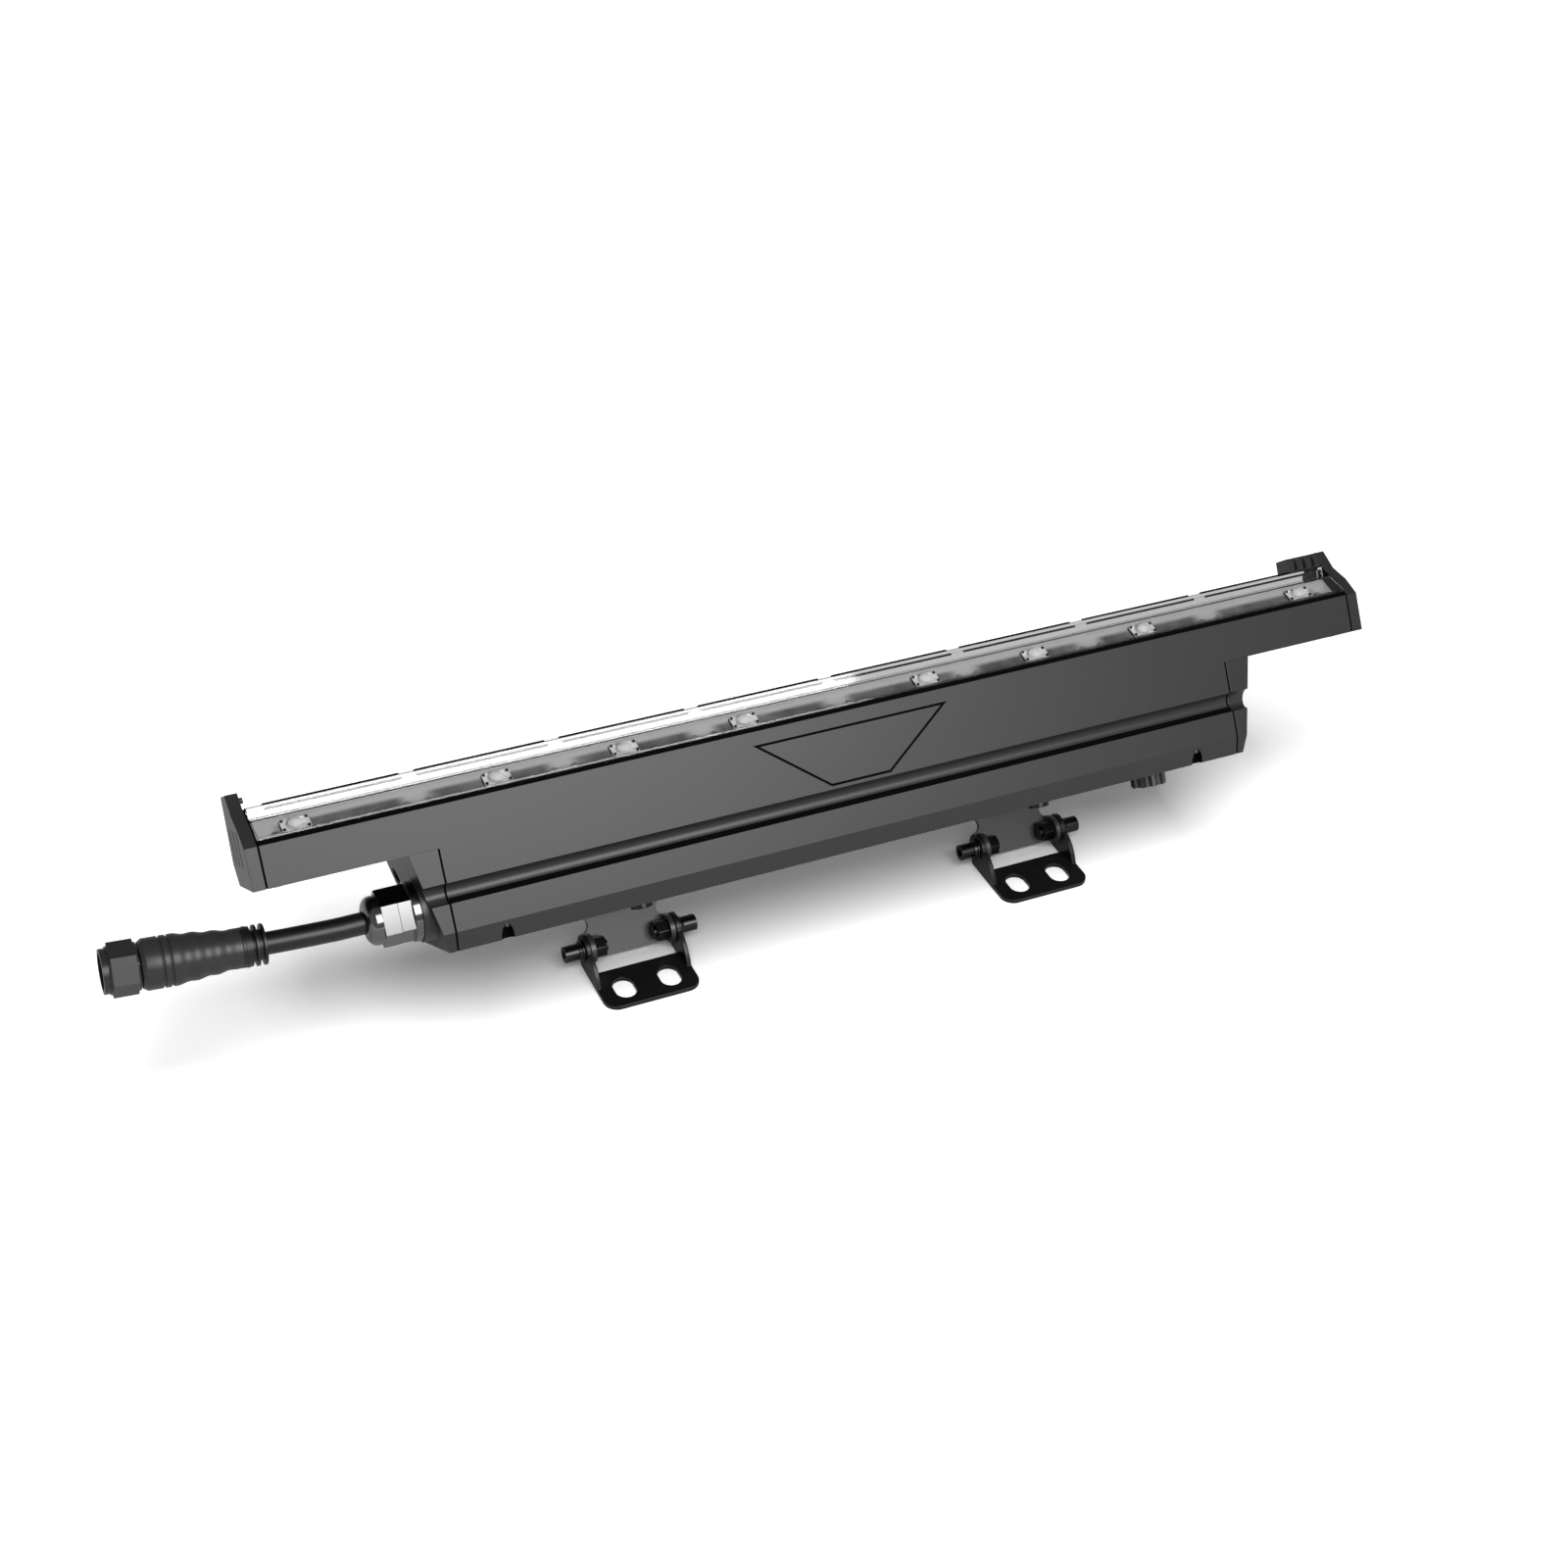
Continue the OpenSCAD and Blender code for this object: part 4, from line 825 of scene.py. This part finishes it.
@dataclass
class Connector:
    """The screw connector on the end of the cable, about its own axis."""

    edge: float = 0.25
    insert_edge: float = 0.15

    def make(self) -> list[Piece]:
        """Make the connector's pieces and give them all."""
        pieces = [
            soften("connector_boot", "connector_strain_relief", Finishes.RUBBER, self.edge),
            soften("connector_body", "connector_grip", Finishes.NYLON, self.edge, angle=40.0),
            soften("connector_insert", "connector_contact_block", Finishes.NYLON, self.insert_edge),
            soften("coupling_nut", "connector_coupling_nut", Finishes.NUT, self.edge, body=Body.NUT),
        ]
        paint(Finishes.GOLD, "connector_pins")
        paint(Finishes.RUBBER, "connector_oring")
        return pieces + [frame["nodes"]["connector_pins"], frame["nodes"]["connector_oring"]]


# The lamp


@dataclass
class LampBody:
    """Extruded housing, its lower cover and what is screwed into them."""

    edge: float = 0.3
    panel_edge: float = 0.12
    panel_top: float = 86.0
    panel_low: float = 25.0
    panel_z: float = 29.5
    panel_h: float = 21.5
    panel_gap: float = 0.95
    gap_shade_front: float = 0.12
    gap_shade_back: float = 1.39
    gap_shade_play: float = 0.02
    hole_x: float = 157.5
    hole_y: float = 3.2
    hole_r: float = 2.68
    hole_h: float = 4.9
    toe_h: float = 7.75
    toe_d: float = 3.0
    sleeve_t: float = 0.3
    sleeve_low: float = 0.1
    sleeve_back: float = 0.15
    sleeve_sides: int = 32
    crease: float = 16.0
    screw_edge: float = 0.15
    vent_edge: float = 0.2

    def half_width(self, z: float, inset: float) -> float:
        """Give half the width of the panel's pocket at one height, less an even inset."""
        floor, roof = self.panel_z - self.panel_gap, self.panel_z + self.panel_h + self.panel_gap
        lean = (self.panel_top - self.panel_low) / 2 / (roof - floor)
        return self.panel_low / 2 + self.panel_gap + (z - floor) * lean - inset * math.hypot(1.0, lean)

    def panel_seal(self) -> Mesh:
        """Make the flat black sheet of painted shade that fills the gap round the inlaid panel."""
        corners = []
        for inset in (self.panel_gap - self.gap_shade_play, self.gap_shade_play):
            grow = self.panel_gap - inset
            floor, roof = self.panel_z - grow, self.panel_z + self.panel_h + grow
            low, top = self.half_width(floor, inset), self.half_width(roof, inset)
            for depth in (self.gap_shade_front, self.gap_shade_back):
                corners += [tuple(SEAT.point(x, depth, z))
                            for x, z in ((-low, floor), (low, floor), (top, roof), (-top, roof))]
        faces = []
        for k in range(4):
            n = (k + 1) % 4
            faces += [(k, n, 8 + n, 8 + k), (4 + n, 4 + k, 12 + k, 12 + n),
                      (k, 4 + k, 4 + n, n), (8 + n, 12 + n, 12 + k, 8 + k)]
        shape = bmesh.new()
        verts = [shape.verts.new(corner) for corner in corners]
        for face in faces:
            shape.faces.new([verts[k] for k in face])
        return finished(shape, "panel_seal")

    def panel(self) -> Mesh:
        """Copy the inlaid panel with its slanted sides drawn in, so that its gap is even all round.

        The CAD's panel runs into its pocket's wall near the top corners, and this copy does not.
        """
        mesh = merged_copy("inlay_panel")
        seat = SEAT.matrix()
        for vert in mesh.vertices:
            place = seat.inverted() @ vert.co
            share = (place.z - self.panel_z) / self.panel_h
            was = (self.panel_low + (self.panel_top - self.panel_low) * share) / 2
            place.x *= self.half_width(place.z, self.panel_gap) / was
            vert.co = seat @ place
        return broken_edges(mesh, self.panel_edge)

    def hole_sleeves(self) -> Mesh:
        """Line the two screw holes of the toe with black sleeves of painted shade, cut off along the toe."""
        shape = bmesh.new()
        bore = self.hole_r - self.sleeve_t
        for side in (-1, 1):
            rings = [add_ring(shape, (side * self.hole_x, self.hole_y, z), r, self.sleeve_sides)
                     for r, z in ((self.hole_r, self.sleeve_low), (self.hole_r, self.hole_h),
                                  (bore, self.hole_h), (bore, self.sleeve_low))]
            for low, high in zip(rings, rings[1:] + rings[:1]):
                join_rings(shape, low, high)
        cut = bmesh.ops.bisect_plane(shape, geom=shape.verts[:] + shape.edges[:] + shape.faces[:],
                                     plane_co=(0.0, self.toe_d + self.sleeve_back, 0.0),
                                     plane_no=(0.0, -self.toe_h, -self.toe_d), clear_outer=True)
        rim = [item for item in cut["geom_cut"] if isinstance(item, bmesh.types.BMEdge)]
        bmesh.ops.triangle_fill(shape, use_beauty=True, edges=rim)
        bmesh.ops.transform(shape, matrix=SEAT.matrix(), verts=shape.verts)
        return shaded(finished(shape, "hole_sleeves"))

    def make(self) -> None:
        """Make and dress the housing's pieces."""
        for node, name in (("main_extrusion", "housing_extrusion"), ("driver_cover", "housing_lower_cover")):
            soften(node, name, Finishes.HOUSING, self.edge, angle=self.crease)
        keep("front_inlay_panel", self.panel(), ["inlay_panel"], Finishes.HOUSING)
        soften("driver_cover_screws", "lower_cover_screws", Finishes.BOLT, self.screw_edge)
        # A black sheet of painted shade in the gap round the inlaid panel
        keep("panel_seal", self.panel_seal(), [], Finishes.SEAL_AND_SHADE)
        # Black sleeves of painted shade inside the toe's screw holes
        keep("hole_sleeves", self.hole_sleeves(), [], Finishes.SEAL_AND_SHADE)
        soften("vent_plug", "vent_plug_cap", Finishes.NYLON, self.vent_edge)
        paint(Finishes.RUBBER, "vent_seal", "lead_grommet")
        # Real gaskets and seals, in a black dark enough to paint in the shade of their seams
        paint(Finishes.SEAL_AND_SHADE, "housing_cap_gaskets", "head_cap_gaskets", "cover_gasket", "seam_seal")
        paint(Finishes.GREY_PLASTIC, "driver_unit")
        paint(Finishes.WHITE_PLASTIC, "terminal_block")
        paint(Finishes.RED_SHEATH, "led_leads")


@dataclass
class LightRow:
    """The reflector, its lenses and the clear window over them, in millimetres."""

    pitch: float = 60.0
    modules: int = 8
    shares: Sequence[float] = (0.69, 1.56, 2.45, 3.79)
    shelf_y: float = 2.5
    shelf_z: float = 53.0
    shelf_run: float = 14.5
    shelf_rise: float = 12.5
    strip_share: float = 0.95
    lens_share: float = 0.67
    lens_l: float = 12.0
    lens_w: float = 6.8
    lens_h: float = 2.5
    sheet_t: float = 0.8
    foot_h: float = 0.8
    foot_taper: float = 0.94
    dome_r: float = 3.0
    dome_sides: int = 12
    dome_low: Profile = ((1.0, 0.01), (1.0, 0.3), (0.9, 0.95))
    dome_high: Profile = ((0.6, -0.3), (0.28, 0.0))
    clip_share: tuple[float, float] = (0.40, 0.34)
    clip_sides: int = 8
    clip: Profile = ((0.65, 0.01), (0.6, 0.5), (0.4, 0.7))
    screw_share: float = 0.43
    screw_sides: int = 20
    screw_head: Profile = ((0.0, 0.0), (1.8, 0.0), (1.8, 0.35), (1.55, 0.75), (1.1, 0.95), (0.55, 1.0),
                           (0.3, 0.6), (0.0, 0.55))
    window_edge: float = 0.15
    # Dark strips of painted shade along each edge of the window's rib, one per module
    strip_l: float = 54.0
    # Name, place along Y and Z, width and thickness of each strip
    strips: Sequence[tuple[str, float, float, float, float]] = (
        ("rib_seal_strips", 15.9, 69.69, 1.0, 0.9), ("rear_seal_strips", 19.45, 71.32, 0.4, 0.4))

    def shelf(self) -> Matrix:
        """Turn from the sloping shelf's own frame to the lamp's frame."""
        slope = math.atan2(self.shelf_rise, self.shelf_run)
        return Matrix.Translation((0.0, self.shelf_y, self.shelf_z)) @ Matrix.Rotation(slope, 4, "X")

    def strip_width(self) -> float:
        """Width of the reflector strip on the slope."""
        return math.hypot(self.shelf_run, self.shelf_rise) * self.strip_share

    def middles(self) -> list[float]:
        """Give the place of each module's middle along the lamp."""
        return [(module - (self.modules - 1) / 2) * self.pitch for module in range(self.modules)]

    def on_shelf(self, x: float, along: float, up: float) -> Vector:
        """Place a point of the shelf in the row frame."""
        return SEAT.matrix() @ self.shelf() @ Vector((x, along, up))

    def lens_unit(self) -> Mesh:
        """Make the clear foot of one lens."""
        shape = bmesh.new()
        foot_h = self.sheet_t + self.foot_h
        for vert in bmesh.ops.create_cube(shape, size=1.0)["verts"]:
            share = 1.0 if vert.co.z < 0 else self.foot_taper
            vert.co = Vector((vert.co.x * self.lens_l * share, vert.co.y * self.lens_w * share,
                              (vert.co.z + 0.5) * foot_h))
        return shaded(finished(shape, "lens_unit"), 12.0)

    def dome_unit(self) -> Mesh:
        """Make the faceted dome of one lens, which stands on its foot."""
        foot_h, top = self.sheet_t + self.foot_h, self.sheet_t + self.lens_h
        shape = bmesh.new()
        profile = [(self.dome_r * share, foot_h + rise) for share, rise in self.dome_low]
        profile += [(self.dome_r * share, top + rise) for share, rise in self.dome_high]
        add_turned(shape, profile, self.dome_sides)
        return finished(shape, "dome_unit")

    def clip_unit(self) -> Mesh:
        """Make the four black clips that hold one lens at its corners."""
        foot_h = self.sheet_t + self.foot_h
        profile = [(radius, foot_h + rise) for radius, rise in self.clip]
        shape = bmesh.new()
        for x in (-1, 1):
            for y in (-1, 1):
                add_turned(shape, profile, self.clip_sides, x * self.lens_l * self.clip_share[0],
                           y * self.lens_w * self.clip_share[1])
        return shaded(finished(shape, "clip_unit"), 30.0)

    def turn(self) -> Matrix:
        """Turn from the sloping shelf's own frame to the row frame."""
        return SEAT.matrix().to_3x3().normalized() @ self.shelf().to_3x3()

    def make_lenses(self) -> None:
        """Set the lenses along the strip."""
        along = self.strip_width() * self.lens_share
        places = [self.on_shelf(side * share * self.pitch, along, -self.sheet_t)
                  for share in self.shares for side in (-1, 1)]
        for name, unit, finish, nodes, slot in (
                ("led_lens_row", self.lens_unit(), Finishes.LENS, ["led_lenses"], ""),
                ("led_lens_domes", self.dome_unit(), Finishes.DOME, [], SLOTS["led_lenses"]),
                ("led_lens_clips", self.clip_unit(), Finishes.SEAL_AND_SHADE, [], "rubber")):
            keep(name, repeated(name, unit, places, self.turn(), finish), nodes)

    def screw_unit(self) -> Mesh:
        """Make one pan head screw with a round dimple in its top."""
        shape = bmesh.new()
        add_turned(shape, self.screw_head, self.screw_sides)
        return shaded(finished(shape, "screw_unit"), 40.0)

    def make_screws(self) -> None:
        """Set the board screws along the strip."""
        along = self.strip_width() / 2
        places = [self.on_shelf(middle + side * self.pitch * self.screw_share, along, 0.0)
                  for middle in self.middles() for side in (-1, 1)]
        mesh = repeated("board_screw_row", self.screw_unit(), places, self.turn(), Finishes.ZINC)
        keep("board_screw_row", mesh, ["board_screws"])

    def strip_unit(self, width: float, thick: float) -> Mesh:
        """Make one thin strip of painted shade that hangs down from its own origin."""
        shape = bmesh.new()
        for vert in bmesh.ops.create_cube(shape, size=1.0)["verts"]:
            vert.co = Vector((vert.co.x * self.strip_l, vert.co.y * width, (vert.co.z - 0.5) * thick))
        return finished(shape, "strip_unit")

    def make_strips(self) -> None:
        """Set one dark strip of painted shade per module along each edge of the window's rib."""
        turn = SEAT.matrix().to_3x3().normalized()
        for name, y, z, width, thick in self.strips:
            places = [SEAT.point(middle, y, z) for middle in self.middles()]
            mesh = repeated(name, self.strip_unit(width, thick), places, turn, Finishes.SEAL_AND_SHADE)
            keep(name, mesh, [])

    def make(self) -> None:
        """Make and dress the row of lights and its window."""
        soften("clear_cover", "clear_window", Finishes.WINDOW, self.window_edge, angle=20.0)
        paint(Finishes.REFLECTOR, "reflector")
        paint(Finishes.BOARD, "led_boards")
        paint(Finishes.PHOSPHOR, "led_packages")
        paint(Finishes.ZINC, "cover_clips")
        self.make_lenses()
        self.make_screws()
        self.make_strips()


@dataclass
class EndCaps:
    """The caps at both ends of the head and of the driver housing."""

    edge: float = 0.5
    fine_edge: float = 0.22
    head_end: float = 250.0
    slots: Sequence[float] = (10.5, 18.1, 25.7)
    slot_w: float = 1.4
    slot_low: float = 49.5
    slot_high: float = 63.5
    slot_in: float = 0.3
    shade_fill_t: float = 0.4
    shade_fill_play: float = 0.02
    screw_edge: float = 0.2
    crease: float = 16.0

    def slot_shade_backs(self) -> Mesh:
        """Fill the slots of the left head cap with black blocks of painted shade, a little below its face."""
        shape = bmesh.new()
        wide = self.slot_w - 2 * self.shade_fill_play
        high = self.slot_high - self.slot_low - 2 * self.shade_fill_play
        middle = (self.slot_low + self.slot_high) / 2
        for y in self.slots:
            for vert in bmesh.ops.create_cube(shape, size=1.0)["verts"]:
                vert.co = SEAT.point(-self.head_end + self.slot_in + (vert.co.x + 0.5) * self.shade_fill_t,
                                     y + self.slot_w / 2 + vert.co.y * wide, middle + vert.co.z * high)
        return finished(shape, "slot_filters")

    def make(self) -> None:
        """Make and dress the caps and their screws."""
        # Black blocks of painted shade in the slots of the left head cap
        keep("slot_filters", self.slot_shade_backs(), [], Finishes.SEAL_AND_SHADE)
        for side in ("left", "right"):
            soften(f"head_end_cap_{side}", f"head_cap_{side}", Finishes.CAP, self.fine_edge, 3)
            soften(f"housing_end_cap_{side}", f"housing_cap_{side}", Finishes.CAP, self.edge, 3, self.crease)
        for name in ("head_cap_screw", "housing_cap_screw"):
            soften(f"{name}s", f"{name}_set", Finishes.ZINC, self.screw_edge)


@dataclass
class Gland:
    """The bright cable gland on the left cap."""

    edge: float = 0.35

    def make(self) -> None:
        """Make and dress the gland's pieces."""
        soften("gland_body", "gland_body_bright", Finishes.NICKEL, self.edge, 3)
        soften("gland_nut", "gland_dome_nut", Finishes.NICKEL, self.edge, 3, angle=35.0)
        soften("gland_locknut", "gland_lock_nut", Finishes.NICKEL, self.edge)
        paint(Finishes.RUBBER, "gland_seal", "cable_inner")


@dataclass
class Brackets:
    """The yokes under the lamp and the plates that they are hinged on."""

    edge: float = 0.3
    screw_edge: float = 0.2
    bolt_edge: float = 0.3
    nut_edge: float = 0.2
    washer_edge: float = 0.12

    def make(self) -> None:
        """Make and dress both brackets with their bolts, nuts and washers."""
        for side, base in (("left", Body.BASE_LEFT), ("right", Body.BASE_RIGHT)):
            soften(f"yoke_{side}", f"hinge_yoke_{side}", Finishes.YOKE, self.edge, 3)
            soften(f"yoke_screws_{side}", f"yoke_screw_pair_{side}", Finishes.BOLT, self.screw_edge)
            soften(f"base_bracket_{side}", f"floor_bracket_{side}", Finishes.BRACKET, self.edge, 3, body=base)
            for node, name, edge in (("bolts", "bolt_pair", self.bolt_edge),
                                     ("nuts", "nut_pair", self.nut_edge),
                                     ("washers", "washer_set", self.washer_edge)):
                soften(f"hinge_{node}_{side}", f"hinge_{name}_{side}", Finishes.BOLT, edge, body=base)


def main() -> None:
    """Build the scene, the camera and the cable first."""
    logging.basicConfig(level=logging.INFO, format="%(name)s: %(message)s")
    Studio().make()
    run = CableRun()
    cable = run.make()
    Connector().make()
    for part in (LampBody(), LightRow(), EndCaps(), Gland(), Brackets()):
        part.make()


if __name__ == "__main__":
    main()
